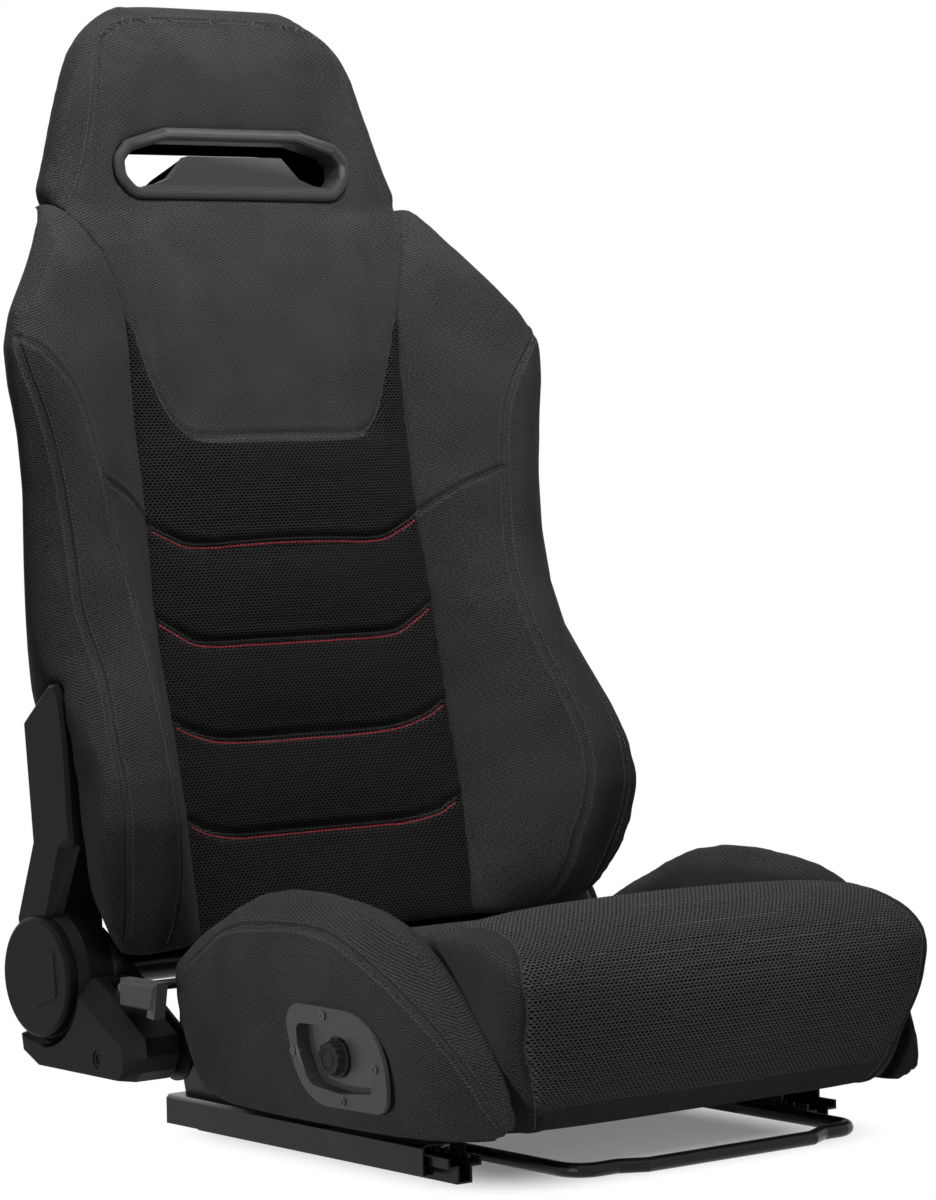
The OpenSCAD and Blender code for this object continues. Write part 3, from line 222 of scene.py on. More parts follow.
def meshPattern(tree, settings):
    uv = addNode(tree, "ShaderNodeUVMap", uv_map="rows").outputs[0]
    perMetre = (1 / (settings["pitchXMm"] * mm), 1 / (settings["pitchYMm"] * mm), 0)
    split = addNode(tree, "ShaderNodeSeparateXYZ", {0: calcVector(tree, "MULTIPLY", uv, perMetre)})
    odd = calc(tree, "MODULO", calc(tree, "FLOOR", split.outputs[1]), 2.0)
    shifted = calc(tree, "MULTIPLY_ADD", odd, 0.5, split.outputs[0])
    inCell = {0: calc(tree, "FRACT", shifted), 1: calc(tree, "FRACT", split.outputs[1])}
    cell = addNode(tree, "ShaderNodeCombineXYZ", inCell).outputs[0]
    away = calcVector(tree, "DISTANCE", cell, (0.5, 0.5, 0.0))
    inside = settings["holeSize"] - settings["rimInside"]
    outside = settings["holeSize"] + settings["rimOutside"]
    return uv, between(tree, away, inside, outside, interpolation_type="SMOOTHSTEP")


def meshColour(tree, settings, uv, pattern):
    yarn = noise(tree, uv, settings["yarnScale"], 1.0)
    strand = blend(tree, yarn, linear(settings["yarnDark"]), linear(settings["yarnLight"]))
    return blend(tree, pattern, linear(settings["hole"]), strand)


def makeMixedCloth(name, twillSettings, meshSettings):
    # One cover of two cloths: the "knit" attribute is above 0 where the open knit is
    material, tree, shader = newMaterial(name, clothShader)
    weaveUv, weave = twillPattern(tree, twillSettings)
    rowsUv, rows = meshPattern(tree, meshSettings)
    part = addNode(tree, "ShaderNodeAttribute", attribute_name="knit")
    isKnit = between(tree, part.outputs["Fac"], -meshSettings["border"], meshSettings["border"])
    plain = twillColour(tree, twillSettings, weaveUv, weave)
    setColour(tree, shader, blend(tree, isKnit, plain, meshColour(tree, meshSettings, rowsUv, rows)))
    fine = calc(tree, "MULTIPLY", weave, meshSettings["twillShare"])
    height = addNode(tree, "ShaderNodeMix", {"Factor": isKnit, 2: fine, 3: rows}).outputs[0]
    emboss(tree, shader, height, meshSettings["bump"], meshSettings["bumpDepth"])
    return material


# Moulded ABS: fine spark-eroded grain, softly glossy, with rubbed edges a little lighter

moulded = {
    "darkPlastic": {"base": "161616", "rubbed": "2c2c2d", "roughness": 0.5, "shine": 0.1, "grainMm": 0.8,
        "bump": 0.1},
    "greyPlastic": {"base": "404041", "rubbed": "6a6a6b", "roughness": 0.42, "shine": 0.3, "grainMm": 0.7,
        "bump": 0.08},
    "slotPlastic": {"base": "49484b", "rubbed": "6b6a6d", "roughness": 0.5, "shine": 0.06, "grainMm": 1.0,
        "bump": 0.16},
    "glossPlastic": {"base": "0c0c0d", "rubbed": "1a1a1b", "roughness": 0.4, "shine": 0.0, "grainMm": 3.0,
        "bump": 0.02},
}
grainDepth = 0.0004
rubbedEdge = (0.53, 0.62)  # pointiness from which an edge is rubbed, and where it is rubbed most


def makeMoulded(name, settings):
    material, tree, shader = newMaterial(name, {"IOR": 1.5, "Roughness": settings["roughness"],
        "Specular IOR Level": settings["shine"]})
    place = addNode(tree, "ShaderNodeTexCoord").outputs["Object"]
    grain = noise(tree, place, 1 / (settings["grainMm"] * mm), 2.0)
    edges = addNode(tree, "ShaderNodeNewGeometry").outputs["Pointiness"]
    rub = between(tree, edges, *rubbedEdge)
    setColour(tree, shader, blend(tree, rub, linear(settings["base"]), linear(settings["rubbed"])))
    emboss(tree, shader, grain, settings["bump"], grainDepth)
    return material


# Powder-coated and zinc-plated steel

metals = {
    "blackSteel": {"base": "111112", "worn": "262525", "metallic": 0.0, "roughness": 0.3, "shine": 0.2,
        "grainMm": 1.2, "bump": 0.06},
    "darkZinc": {"base": "58585a", "worn": "3a3a3c", "metallic": 1.0, "roughness": 0.45, "shine": 0.5,
        "grainMm": 2.0, "bump": 0.05},
    "bareSteel": {"base": "b4b6b8", "worn": "8d8f92", "metallic": 1.0, "roughness": 0.32, "shine": 0.5,
        "grainMm": 2.5, "bump": 0.05},
}
blotchScale = 22.0
wornBlotch = (0.52, 0.75)


def makeMetal(name, settings):
    material, tree, shader = newMaterial(name, {"Metallic": settings["metallic"],
        "Roughness": settings["roughness"], "Specular IOR Level": settings["shine"]})
    place = addNode(tree, "ShaderNodeTexCoord").outputs["Object"]
    coat = noise(tree, place, 1 / (settings["grainMm"] * mm), 3.0)
    wear = between(tree, noise(tree, place, blotchScale, 4.0), *wornBlotch)
    setColour(tree, shader, blend(tree, wear, linear(settings["base"]), linear(settings["worn"])))
    emboss(tree, shader, coat, settings["bump"], grainDepth)
    return material


# Bonded polyester sewing thread: twisted, with a slight shine. seamShade, made the same way, is no thread
# but near-black painted shade for the line of each seam

threads = {
    "redThread": ("e0243c", "a01628"),
    "greyThread": ("464445", "2c2b2b"),
    # near black: painted shade for the creases along the seams, not a thread
    "seamShade": ("161516", "0d0d0d"),
}
twist = {"scale": 500.0, "distortion": 1.0, "bump": 0.3, "bumpDepth": 0.0002}


def makeThread(name, light, dark):
    material, tree, shader = newMaterial(name, {"Roughness": 0.6, "Sheen Weight": 0.2})
    place = addNode(tree, "ShaderNodeTexCoord").outputs["Object"]
    strands = addNode(tree, "ShaderNodeTexWave", {"Vector": place, "Scale": twist["scale"],
        "Distortion": twist["distortion"]}, bands_direction="DIAGONAL").outputs["Fac"]
    setColour(tree, shader, blend(tree, strands, linear(dark), linear(light)))
    emboss(tree, shader, strands, twist["bump"], twist["bumpDepth"])
    return material


twillCloth = makeTwill(twill)
# The back's cover takes the knit with painted shade in its colours
backCloth = makeMixedCloth("backCloth", twill, mesh)
# The seat's cover takes the knit's lit copy, with painted light in its colours
seatCloth = makeMixedCloth("seatCloth", twill, litSeatMesh)
hard = {name: makeMoulded(name, settings) for name, settings in moulded.items()}
hard.update({name: makeMetal(name, settings) for name, settings in metals.items()})
thread = {name: makeThread(name, *colours) for name, colours in threads.items()}
print("materials made")

# Finishes and softened edges of the hard pieces

finishes = {
    "darkPlastic": [
        "lower_cover_left", "lower_cover_right", "cover_plugs", "arm_cover_left", "arm_cover_right",
        "hinge_cap_left", "hinge_cap_right", "control_module", "control_knob", "haptics_back",
        "haptics_seat",
    ],
    "glossPlastic": ["slot_bezel_rear"],
    "slotPlastic": ["slot_bezel_front"],
    "greyPlastic": ["control_bezel", "recline_lever"],
    "darkZinc": ["bezel_screws"],
    "bareSteel": [
        "ball_cage_left", "ball_cage_right", "cushion_springs", "frame_bolts", "recliner_disc_left",
        "recliner_disc_right", "lever_bolt", "recliner_hub_left", "recliner_hub_right",
        "back_cross_straps",
    ],
}
softEdgesMm = {
    1.2: [
        "slot_bezel_front", "slot_bezel_rear", "arm_cover_left", "arm_cover_right",
        "lower_cover_left", "lower_cover_right", "recline_lever",
    ],
    0.8: ["hinge_cap_left", "hinge_cap_right"],
    0.6: ["control_bezel"],
    0.5: ["control_knob", "upper_rail_left", "upper_rail_right", "lower_rail_left", "lower_rail_right"],
}
softEdge = {"weld": 0.00002, "flatDegrees": 0.8, "segments": 2, "sharpDegrees": 28}


def softenEdges(node, widthMm, settings):
    weld = node.modifiers.new("weld", "WELD")
    weld.merge_threshold = settings["weld"]
    flat = node.modifiers.new("flatten", "DECIMATE")
    flat.decimate_type = "DISSOLVE"
    flat.angle_limit = math.radians(settings["flatDegrees"])
    bevel = node.modifiers.new("edges", "BEVEL")
    bevel.width = widthMm * mm
    bevel.segments = settings["segments"]
    bevel.limit_method = "ANGLE"
    bevel.angle_limit = math.radians(settings["sharpDegrees"])
    bevel.harden_normals = False


finishOf = {n: "blackSteel" for n in nodes}
finishOf.update({n: finish for finish, members in finishes.items() for n in members})
for name, node in nodes.items():
    node.data.materials.clear()
    node.data.materials.append(hard[finishOf[name]])
for widthMm, members in softEdgesMm.items():
    for name in members:
        softenEdges(nodes[name], widthMm, softEdge)
print("hard pieces finished")

# Shared helpers for upholstery

curveSteps = 12


def curveThrough(points, stepMm=2.0):
    # Smooth line through points in millimetres, returned in metres at even steps
    p = np.array(points, float)
    p = np.vstack([2 * p[0] - p[1], p, 2 * p[-1] - p[-2]])
    line = []
    for i in range(1, len(p) - 2):
        a, b, c, d = p[i - 1 : i + 3]
        slope, bend, twirl = c - a, 2 * a - 5 * b + 4 * c - d, 3 * b - a - 3 * c + d
        for t in np.linspace(0, 1, curveSteps, endpoint=False):
            line.append(0.5 * (2 * b + slope * t + bend * t * t + twirl * t**3))
    line = np.array(line + [p[-2]])
    run = np.concatenate([[0], np.cumsum(np.linalg.norm(np.diff(line, axis=0), axis=1))])
    even = np.linspace(0, run[-1], max(3, int(run[-1] / stepMm)))
    return np.column_stack([np.interp(even, run, line[:, k]) for k in range(3)]) * mm


def flip(points):
    return [(-x, y, z) for x, y, z in points]


def meshPiece(name, data):
    piece = bpy.data.objects.new(name, data)
    bpy.context.scene.collection.objects.link(piece)
    return piece


def applyAll(piece):
    bpy.ops.object.select_all(action="DESELECT")
    piece.select_set(True)
    bpy.context.view_layer.objects.active = piece
    for modifier in list(piece.modifiers):
        bpy.ops.object.modifier_apply(modifier=modifier.name)
    piece.select_set(False)


weldGap = 0.00003  # metres between points that softForm joins


def softForm(name, sources, settings):
    shape = bmesh.new()
    for source in sources:
        shape.from_mesh(nodes[source].data)
    bmesh.ops.remove_doubles(shape, verts=shape.verts, dist=weldGap)
    data = bpy.data.meshes.new(name)
    shape.to_mesh(data)
    shape.free()
    piece = meshPiece(name, data)
    remesh = piece.modifiers.new("remesh", "REMESH")
    remesh.mode = "VOXEL"
    remesh.voxel_size = settings["voxelMm"] * mm
    soften = piece.modifiers.new("soften", "SMOOTH")
    soften.factor = 0.5
    soften.iterations = settings["smoothing"]
    applyAll(piece)
    return piece


def coordsOf(piece):
    flat = np.empty(len(piece.data.vertices) * 3)
    piece.data.vertices.foreach_get("co", flat)
    return flat.reshape(-1, 3)


def normalsOf(piece):
    flat = np.empty(len(piece.data.vertices) * 3)
    piece.data.vertex_normals.foreach_get("vector", flat)
    return flat.reshape(-1, 3)


def setCoords(piece, coords):
    piece.data.vertices.foreach_set("co", coords.ravel())
    piece.data.update()


def distanceTo(coords, line):
    # Distance from each point to the nearest step of a line
    tree = KDTree(len(line))
    for i, p in enumerate(line):
        tree.insert(p, i)
    tree.balance()
    found = [tree.find(c) for c in coords]
    return np.array([f[2] for f in found]), np.array([f[1] for f in found])


def surfaceOf(piece):
    shape = bmesh.new()
    shape.from_mesh(piece.data)
    tree = BVHTree.FromBMesh(shape)
    shape.free()
    return tree


def laidOn(surface, line):
    hits = [surface.find_nearest(p) for p in line]
    return np.array([h[0] for h in hits]), np.array([h[1] for h in hits])


clothSteps = 20
clothQuality = 4
tiny = 1e-9


def inflate(piece, seams, held, settings):
    # Fills the pad like a cushion: seams stay put, and what lies between them swells
    coords = coordsOf(piece)
    pinned = held(coords, normalsOf(piece))
    for line in seams:
        pinned |= distanceTo(coords, line)[0] < settings["pinMm"] * mm
    group = piece.vertex_groups.new(name="pins")
    group.add([int(i) for i in np.flatnonzero(pinned)], 1.0, "REPLACE")
    cloth = piece.modifiers.new("cloth", "CLOTH")
    cloth.settings.use_pressure = True
    cloth.settings.uniform_pressure_force = settings["pressure"]
    cloth.settings.vertex_group_mass = "pins"
    cloth.settings.effector_weights.gravity = 0
    cloth.settings.quality = clothQuality
    cloth.point_cache.frame_end = clothSteps
    scene = bpy.context.scene
    for step in range(1, clothSteps + 1):
        scene.frame_set(step)
    swollen = piece.evaluated_get(bpy.context.evaluated_depsgraph_get())
    moved = np.empty(len(coords) * 3)
    swollen.data.vertices.foreach_get("co", moved)
    move = moved.reshape(-1, 3) - coords
    length = np.maximum(np.linalg.norm(move, axis=1, keepdims=True), tiny)
    cap = settings["capMm"] * mm
    piece.modifiers.remove(cloth)
    piece.vertex_groups.remove(group)
    setCoords(piece, coords + move / length * cap * np.tanh(length / cap))
    scene.frame_set(1)
    print(piece.name, "filled, moved by up to", round(float(length.max()) * 1000, 1), "mm before the cap")


def refine(piece):
    finer = piece.modifiers.new("finer", "SUBSURF")
    finer.levels = finer.render_levels = 1
    applyAll(piece)
    piece.data.shade_smooth()


sameSide = 0.15  # least cosine to the seam's facing, so that a seam doesn't press the cloth behind it
rollAt, rollSpread = 2.4, 1.3  # in widths of the seam


def pressSeams(piece, seams):
    # Draws the cloth in along each seam, with a slight roll on both sides of it
    surface = surfaceOf(piece)
    coords = coordsOf(piece)
    normals = normalsOf(piece)
    shift = np.zeros(len(coords))
    for seam in seams:
        laid, facing = laidOn(surface, seam["line"])
        away, nearest = distanceTo(coords, laid)
        same = np.einsum("ij,ij->i", normals, facing[nearest]) > sameSide
        away = away / mm
        width = seam["width"]
        dip = seam["depth"] * np.exp(-((away / width) ** 2))
        roll = seam["roll"] * np.exp(-(((away - rollAt * width) / (rollSpread * width)) ** 2))
        shift += np.where(same, roll - dip, 0) * mm
    setCoords(piece, coords + normals * shift[:, None])


frontFirst = (1.0, 1.1, 1.0)  # a face that looks as much to the front as aside takes the front's weave


def layWeave(piece):
    # Each face takes the weave from the side that it looks to most, in metres
    data = piece.data
    corners = np.empty(len(data.loops), int)
    data.loops.foreach_get("vertex_index", corners)
    facing = np.empty(len(data.polygons) * 3)
    data.polygons.foreach_get("normal", facing)
    sizes = np.empty(len(data.polygons), int)
    data.polygons.foreach_get("loop_total", sizes)
    side = np.repeat((np.abs(facing.reshape(-1, 3)) * frontFirst).argmax(1), sizes)
    p = coordsOf(piece)[corners]
    u = np.where(side == 0, p[:, 1], p[:, 0])
    v = np.where(side == 2, p[:, 1], p[:, 2])
    layer = data.uv_layers.new(name="weave")
    layer.data.foreach_set("uv", np.column_stack([u, v]).ravel())


def layRows(piece, flat):
    data = piece.data
    corners = np.empty(len(data.loops), int)
    data.loops.foreach_get("vertex_index", corners)
    layer = data.uv_layers.new(name="rows")
    layer.data.foreach_set("uv", flat[corners].ravel())


def markKnit(piece, values):
    attribute = piece.data.attributes.new("knit", "FLOAT", "POINT")
    attribute.data.foreach_set("value", values)


def tubes(name, lines, radiusMm, sides, material):
    # Thin round tubes along lines, joined in one piece
    shape = bmesh.new()
    for line in lines:
        along = np.gradient(line, axis=0)
        rings = []
        for p, t in zip(line, along):
            t = Vector(t).normalized()
            a = t.orthogonal().normalized() if not rings else (lastA - t * lastA.dot(t)).normalized()
            lastA = a
            b = t.cross(a)
            rings.append([shape.verts.new(Vector(p) + (a * math.cos(w) + b * math.sin(w)) * radiusMm * mm)
                for w in (2 * math.pi * k / sides for k in range(sides))])
        for low, high in zip(rings, rings[1:]):
            for k in range(sides):
                shape.faces.new([low[k], low[(k + 1) % sides], high[(k + 1) % sides], high[k]])
        shape.faces.new(rings[0][::-1])
        shape.faces.new(rings[-1])
    data = bpy.data.meshes.new(name)
    shape.to_mesh(data)
    shape.free()
    data.shade_smooth()
    piece = meshPiece(name, data)
    data.materials.append(material)
    return piece


def evened(rows, reach):
    # Moving average along a line, with its ends kept
    padded = np.vstack([np.repeat(rows[:1], reach, axis=0), rows, np.repeat(rows[-1:], reach, axis=0)])
    kernel = np.ones(2 * reach + 1) / (2 * reach + 1)
    return np.column_stack([np.convolve(padded[:, k], kernel, "valid") for k in range(3)])


fromAbove, downTo = 0.012, 0.03  # metres: where a ray to the cloth starts, and its length
ahead = 0.001  # metres, to find which way a row runs


def besideLine(surface, line, facing, offsetMm):
    # A row beside a seam, laid on the cloth from straight above it
    along = np.gradient(evened(line, 3), axis=0)
    up = evened(facing, 6)
    up /= np.linalg.norm(up, axis=1, keepdims=True)
    across = np.cross(up, along)
    across /= np.linalg.norm(across, axis=1, keepdims=True)
    places, normals = [], []
    for p, n, b in zip(line, up, across):
        start = p + b * offsetMm * mm + n * fromAbove
        hit = surface.ray_cast(start, -n, downTo)
        if hit[0] is None:
            hit = surface.find_nearest(p + b * offsetMm * mm)
        places.append(hit[0])
        normals.append(hit[1])
    return evened(np.array(places), 2), evened(np.array(normals), 3)


stitchRings = ((-0.38, 0.42), (0.0, 0.5), (0.38, 0.42))  # place along it and half its width, as shares
stitchTurns = (0.0, 0.33, 0.67, 1.0)  # round the upper half of a ring


def addStitch(verts, faces, place, t, b, n, lengthMm, widthMm):
    # Three half rings and a point at both ends; t runs along the stitch, b across it and n up
    start = len(verts)
    for end, width in stitchRings:
        for w in stitchTurns:
            turn = math.pi * w
            out = (b * math.cos(turn) + n * math.sin(turn)) * width * widthMm * mm
            verts.append(place + t * end * lengthMm * mm + out)
    tip = len(verts)
    verts += [place - t * lengthMm * mm / 2, place + t * lengthMm * mm / 2]
    for k in range(4):
        i, j = start + k, start + (k + 1) % 4
        faces += [(tip, i, j), (i, i + 4, j + 4, j), (i + 4, i + 8, j + 8, j + 4), (i + 8, tip + 1, j + 8)]


def stitches(name, rows, lengthMm, widthMm, pitchMm, material):
    verts, faces = [], []
    for line, facing, offset, surface in rows:
        places, normals = besideLine(surface, line, facing, offset)
        run = np.concatenate([[0], np.cumsum(np.linalg.norm(np.diff(places, axis=0), axis=1))])
        for s in np.arange(pitchMm * mm, run[-1] - pitchMm * mm, pitchMm * mm):
            place = Vector([np.interp(s, run, places[:, k]) for k in range(3)])
            further = Vector([np.interp(s + ahead, run, places[:, k]) for k in range(3)])
            n = Vector([np.interp(s, run, normals[:, k]) for k in range(3)]).normalized()
            t = further - place
            t = (t - n * t.dot(n)).normalized()
            addStitch(verts, faces, place, t, n.cross(t), n, lengthMm, widthMm)
    data = bpy.data.meshes.new(name)
    data.from_pydata(verts, [], faces)
    data.update()
    data.shade_smooth()
    piece = meshPiece(name, data)
    data.materials.append(material)
    return piece


print("helpers ready")

# Front of the backrest: plain head and upper panel, and the knitted insert under it, in one cover

backFront = {
    "voxelMm": 5,
    "smoothing": 3,
    "fill": {"pressure": 4, "capMm": 4.5, "pinMm": 7},
    "plainEdge": [
        (150, 700), (143, 684), (133, 652), (122, 624), (111, 605), (98, 593), (88, 589), (60, 587),
        (0, 587),
    ],
    "plainDepth": 330,  # in front of the cloth, onto which the edge is laid
    "headEdge": [
        (177, 383, 802), (168, 383, 815), (153, 388, 851), (141, 394, 896), (132, 401, 942),
        (118, 398, 968), (98, 400, 977), (50, 402, 980), (0, 402, 980),
    ],
    "headSide": 6,  # points of it, from below, beside which there are stitches
    "channels": [
        [(149, 311, 516), (128, 312, 506), (103, 310, 498), (50, 306, 499), (0, 305, 500)],
        [(152, 296, 434), (130, 297, 421), (106, 297, 411), (50, 300, 411), (0, 300, 411)],
        [(151, 276, 345), (128, 280, 333), (97, 285, 325), (50, 287, 323), (0, 288, 323)],
        [(148, 257, 257), (124, 259, 246), (97, 265, 241), (50, 267, 240), (0, 268, 240)],
    ],
    "plainSeam": {"depth": 1.8, "width": 2.6, "roll": 0.6},
    "channelSeam": {"depth": 1.6, "width": 3.6, "roll": 1.2},
    "headSeam": {"depth": 1.2, "width": 1.6, "roll": 0.9},
    "slotHeld": {"halfWidth": 150, "low": 800, "high": 882},
    # The rest in metres, and as cosines where it says facing
    "held": {"wingTop": 0.79, "underWing": 0.138, "innerFacing": -0.25, "rearFacing": 0.3},
    "tuck": {"mm": 5, "across": (0.125, 0.148), "end": (0.775, 0.80)},
    "neck": {"flare": 0.008, "across": (0.15, 0.19), "start": (0.78, 0.79), "end": (0.80, 0.845)},
    "knitHalf": 0.16,
}


def ramp(values, low, high):
    t = np.clip((values - low) / (high - low), 0, 1)
    return t * t * (3 - 2 * t)


def within(values, low, high):
    return (values > low) & (values < high)


def acrossBoth(half):
    # A line given from the side to the middle, joined with its mirror image
    return list(half) + [(-x, y, z) for x, y, z in half[::-1] if x > 0]


def plainHeight(across):
    xs = np.array([p[0] for p in backFront["plainEdge"]][::-1]) * mm
    zs = np.array([p[1] for p in backFront["plainEdge"]][::-1]) * mm
    return np.interp(np.abs(across), xs, zs)


def tuckUnderWings(piece, tuck):
    # The edges run on under the rolled edge of the wings, so that no gap shows
    coords = coordsOf(piece)
    push = ramp(np.abs(coords[:, 0]), *tuck["across"]) * (1 - ramp(coords[:, 2], *tuck["end"]))
    coords[:, 0] += np.sign(coords[:, 0]) * push * tuck["mm"] * mm
    setCoords(piece, coords)


def flareNeck(piece, neck):
    # The head widens a little where it meets the wings
    coords = coordsOf(piece)
    flare = ramp(np.abs(coords[:, 0]), *neck["across"]) * ramp(coords[:, 2], *neck["start"])
    coords[:, 0] *= 1 + neck["flare"] * (flare * (1 - ramp(coords[:, 2], *neck["end"])))
    setCoords(piece, coords)


def buildBackFront(settings):
    piece = softForm("back_front", ["head_pad", "back_centre_pad"], settings)
    surface = surfaceOf(piece)
    edgeHalf = [(x, settings["plainDepth"], z) for x, z in settings["plainEdge"]]
    channels = [curveThrough(acrossBoth(c)) for c in settings["channels"]]
    heads = [curveThrough(acrossBoth(settings["headEdge"]))]
    headSide = settings["headEdge"][: settings["headSide"]]
    sides = [curveThrough(headSide), curveThrough(flip(headSide))]
    edge = laidOn(surface, curveThrough(acrossBoth(edgeHalf)))[0]
    slot, limits = settings["slotHeld"], settings["held"]

    def held(coords, normals):
        across, height, facing = np.abs(coords[:, 0]), coords[:, 2], normals[:, 1]
        nearSlot = (across < slot["halfWidth"] * mm) & within(height, slot["low"] * mm, slot["high"] * mm)
        beside = (facing > limits["innerFacing"]) | (across > limits["underWing"])
        return nearSlot | beside & (height < limits["wingTop"]) | (facing > limits["rearFacing"])

    tuckUnderWings(piece, settings["tuck"])
    flareNeck(piece, settings["neck"])
    inflate(piece, [edge] + channels + heads, held, settings["fill"])
    refine(piece)
    seams = [dict(settings["plainSeam"], line=edge)]
    seams += [dict(settings["channelSeam"], line=line) for line in channels]
    seams += [dict(settings["headSeam"], line=line) for line in heads]
    pressSeams(piece, seams)
    layWeave(piece)
    coords = coordsOf(piece)
    layRows(piece, coords[:, [0, 2]])
    flatEdge = curveThrough([(x, 0, z) for x, y, z in acrossBoth(edgeHalf)], 0.5)
    away = distanceTo(coords * (1, 0, 1), flatEdge)[0]
    below = coords[:, 2] < plainHeight(coords[:, 0])
    markKnit(piece, np.where(below & (np.abs(coords[:, 0]) < settings["knitHalf"]), away, -away))
    piece.data.materials.append(backCloth)
    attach(piece, "backrest")
    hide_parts("head_pad", "back_centre_pad")
    return piece, edge, channels, heads + sides


backPiece, plainEdge, channelLines, headEdges = buildBackFront(backFront)
backSurface = surfaceOf(backPiece)
print("front of the back made")

# Side wings of the backrest, sewn from a front panel, a narrow crest panel and an outer panel

wing = {
    "voxelMm": 4.5,
    "smoothing": 8,
    "fill": {"pressure": 4, "capMm": 4, "pinMm": 6},
    "ridge": [
        (286, 301, 684), (272, 286, 675), (262, 283, 665), (254, 282, 655), (244, 281, 640),
        (232, 279, 612), (225, 274, 580), (222, 270, 558), (219, 265, 530), (216, 260, 500),
        (213, 251, 470), (212, 239, 445), (213, 226, 420), (216, 211, 392), (220, 198, 370),
        (223, 183, 344), (226, 170, 320), (227, 166, 308), (227, 161, 290), (226, 159, 274),
        (224, 160, 258), (222, 164, 242), (217, 171, 220), (215, 174, 202), (212, 190, 178),
        (209, 206, 160),
    ],
    "outer": [
        (289, 302, 684), (286, 290, 655), (272, 284, 612), (263, 276, 558), (259, 267, 500),
        (260, 253, 445), (260, 222, 392), (270, 192, 344), (275, 168, 290), (275, 166, 274),
        (273, 170, 242), (265, 184, 206), (256, 200, 168),
    ],
    "cross": [(222, 270, 560), (205, 284, 550), (188, 298, 540), (170, 306, 529), (153, 311, 520)],
    "seam": {"depth": 1.9, "width": 2.4, "roll": 0.7},
    # The top of the wing runs on under the head, and stands out there to meet the head's side
    "top": {"upMm": 5, "up": (0.765, 0.795), "outMm": 5, "out": (0.73, 0.79), "across": (0.17, 0.195)},
    "held": {"rear": 0.30, "rearAcross": 0.24, "rearFacing": 0.1, "inner": 0.158, "low": 0.165,
        "high": 0.785},
}


def buildWing(name, settings, side, source):
    turn = (lambda points: points) if side > 0 else flip
    piece = softForm(name, [source], settings)
    top, limits = settings["top"], settings["held"]
    coords = coordsOf(piece)
    coords[:, 2] += ramp(coords[:, 2], *top["up"]) * top["upMm"] * mm
    outward = ramp(coords[:, 2], *top["out"]) * ramp(np.abs(coords[:, 0]), *top["across"])
    coords[:, 0] += side * outward * top["outMm"] * mm
    setCoords(piece, coords)
    surface = surfaceOf(piece)
    lines = [laidOn(surface, curveThrough(turn(settings[k])))[0] for k in ("ridge", "outer", "cross")]

    def held(coords, normals):
        across, height = np.abs(coords[:, 0]), coords[:, 2]
        rear = (coords[:, 1] > limits["rear"]) & (across > limits["rearAcross"])
        rear |= normals[:, 1] > limits["rearFacing"]
        return rear | (across < limits["inner"]) | (height < limits["low"]) | (height > limits["high"])

    inflate(piece, lines, held, settings["fill"])
    refine(piece)
    pressSeams(piece, [dict(settings["seam"], line=line) for line in lines])
    layWeave(piece)
    piece.data.materials.append(twillCloth)
    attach(piece, "backrest")
    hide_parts(source)
    return piece, lines


hands = {1: "right", -1: "left"}
wings = [buildWing("wing_" + hand, wing, side, "back_wing_" + hand) for side, hand in hands.items()]
print("wings made")

# Thigh bolsters

bolster = {
    "voxelMm": 5,
    "smoothing": 3,
    "fill": {"pressure": 4, "capMm": 3.5, "pinMm": 6},
    "crest": [
        (262, 112, 158), (262, 89, 172), (262, 68, 188), (262, 24, 196), (262, -35, 200),
        (262, -69, 201), (262, -99, 197), (262, -139, 183), (258, -178, 162), (248, -213, 133),
        (232, -246, 92), (222, -270, 52),
    ],
    "seam": {"depth": 1.9, "width": 2.4, "roll": 0.9},
    "rear": {"mm": 12, "along": (0.06, 0.115)},  # how far the rear end swells towards the recliner
    "bezelHeld": {"side": -0.24, "along": (-0.195, -0.03), "height": (0.05, 0.15)},
    "held": {"inner": 0.219, "underFacing": -0.6, "rear": 0.12},
}


def buildBolster(name, settings, side, source):
    piece = softForm(name, [source], settings)
    rear, bezel, limits = settings["rear"], settings["bezelHeld"], settings["held"]
    coords = coordsOf(piece)
    coords[:, 1] += ramp(coords[:, 1], *rear["along"]) * rear["mm"] * mm
    setCoords(piece, coords)
    crest = settings["crest"] if side > 0 else flip(settings["crest"])
    line = laidOn(surfaceOf(piece), curveThrough(crest))[0]

    def held(coords, normals):
        underBezel = (side < 0) & (coords[:, 0] < bezel["side"]) & within(coords[:, 1], *bezel["along"])
        underBezel &= within(coords[:, 2], *bezel["height"])
        inner = np.abs(coords[:, 0]) < limits["inner"]
        under = normals[:, 2] < limits["underFacing"]
        return underBezel | inner | under | (coords[:, 1] > limits["rear"])

    inflate(piece, [line], held, settings["fill"])
    refine(piece)
    pressSeams(piece, [dict(settings["seam"], line=line)])
    layWeave(piece)
    piece.data.materials.append(twillCloth)
    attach(piece, "seat")
    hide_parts(source)
    return piece, line


bolsters = [
    buildBolster("thigh_bolster_" + hand, bolster, side, "bolster_" + hand) for side, hand in hands.items()
]
print("bolsters made")

# Seat cushion, knitted on top and down the nose, with plain sides

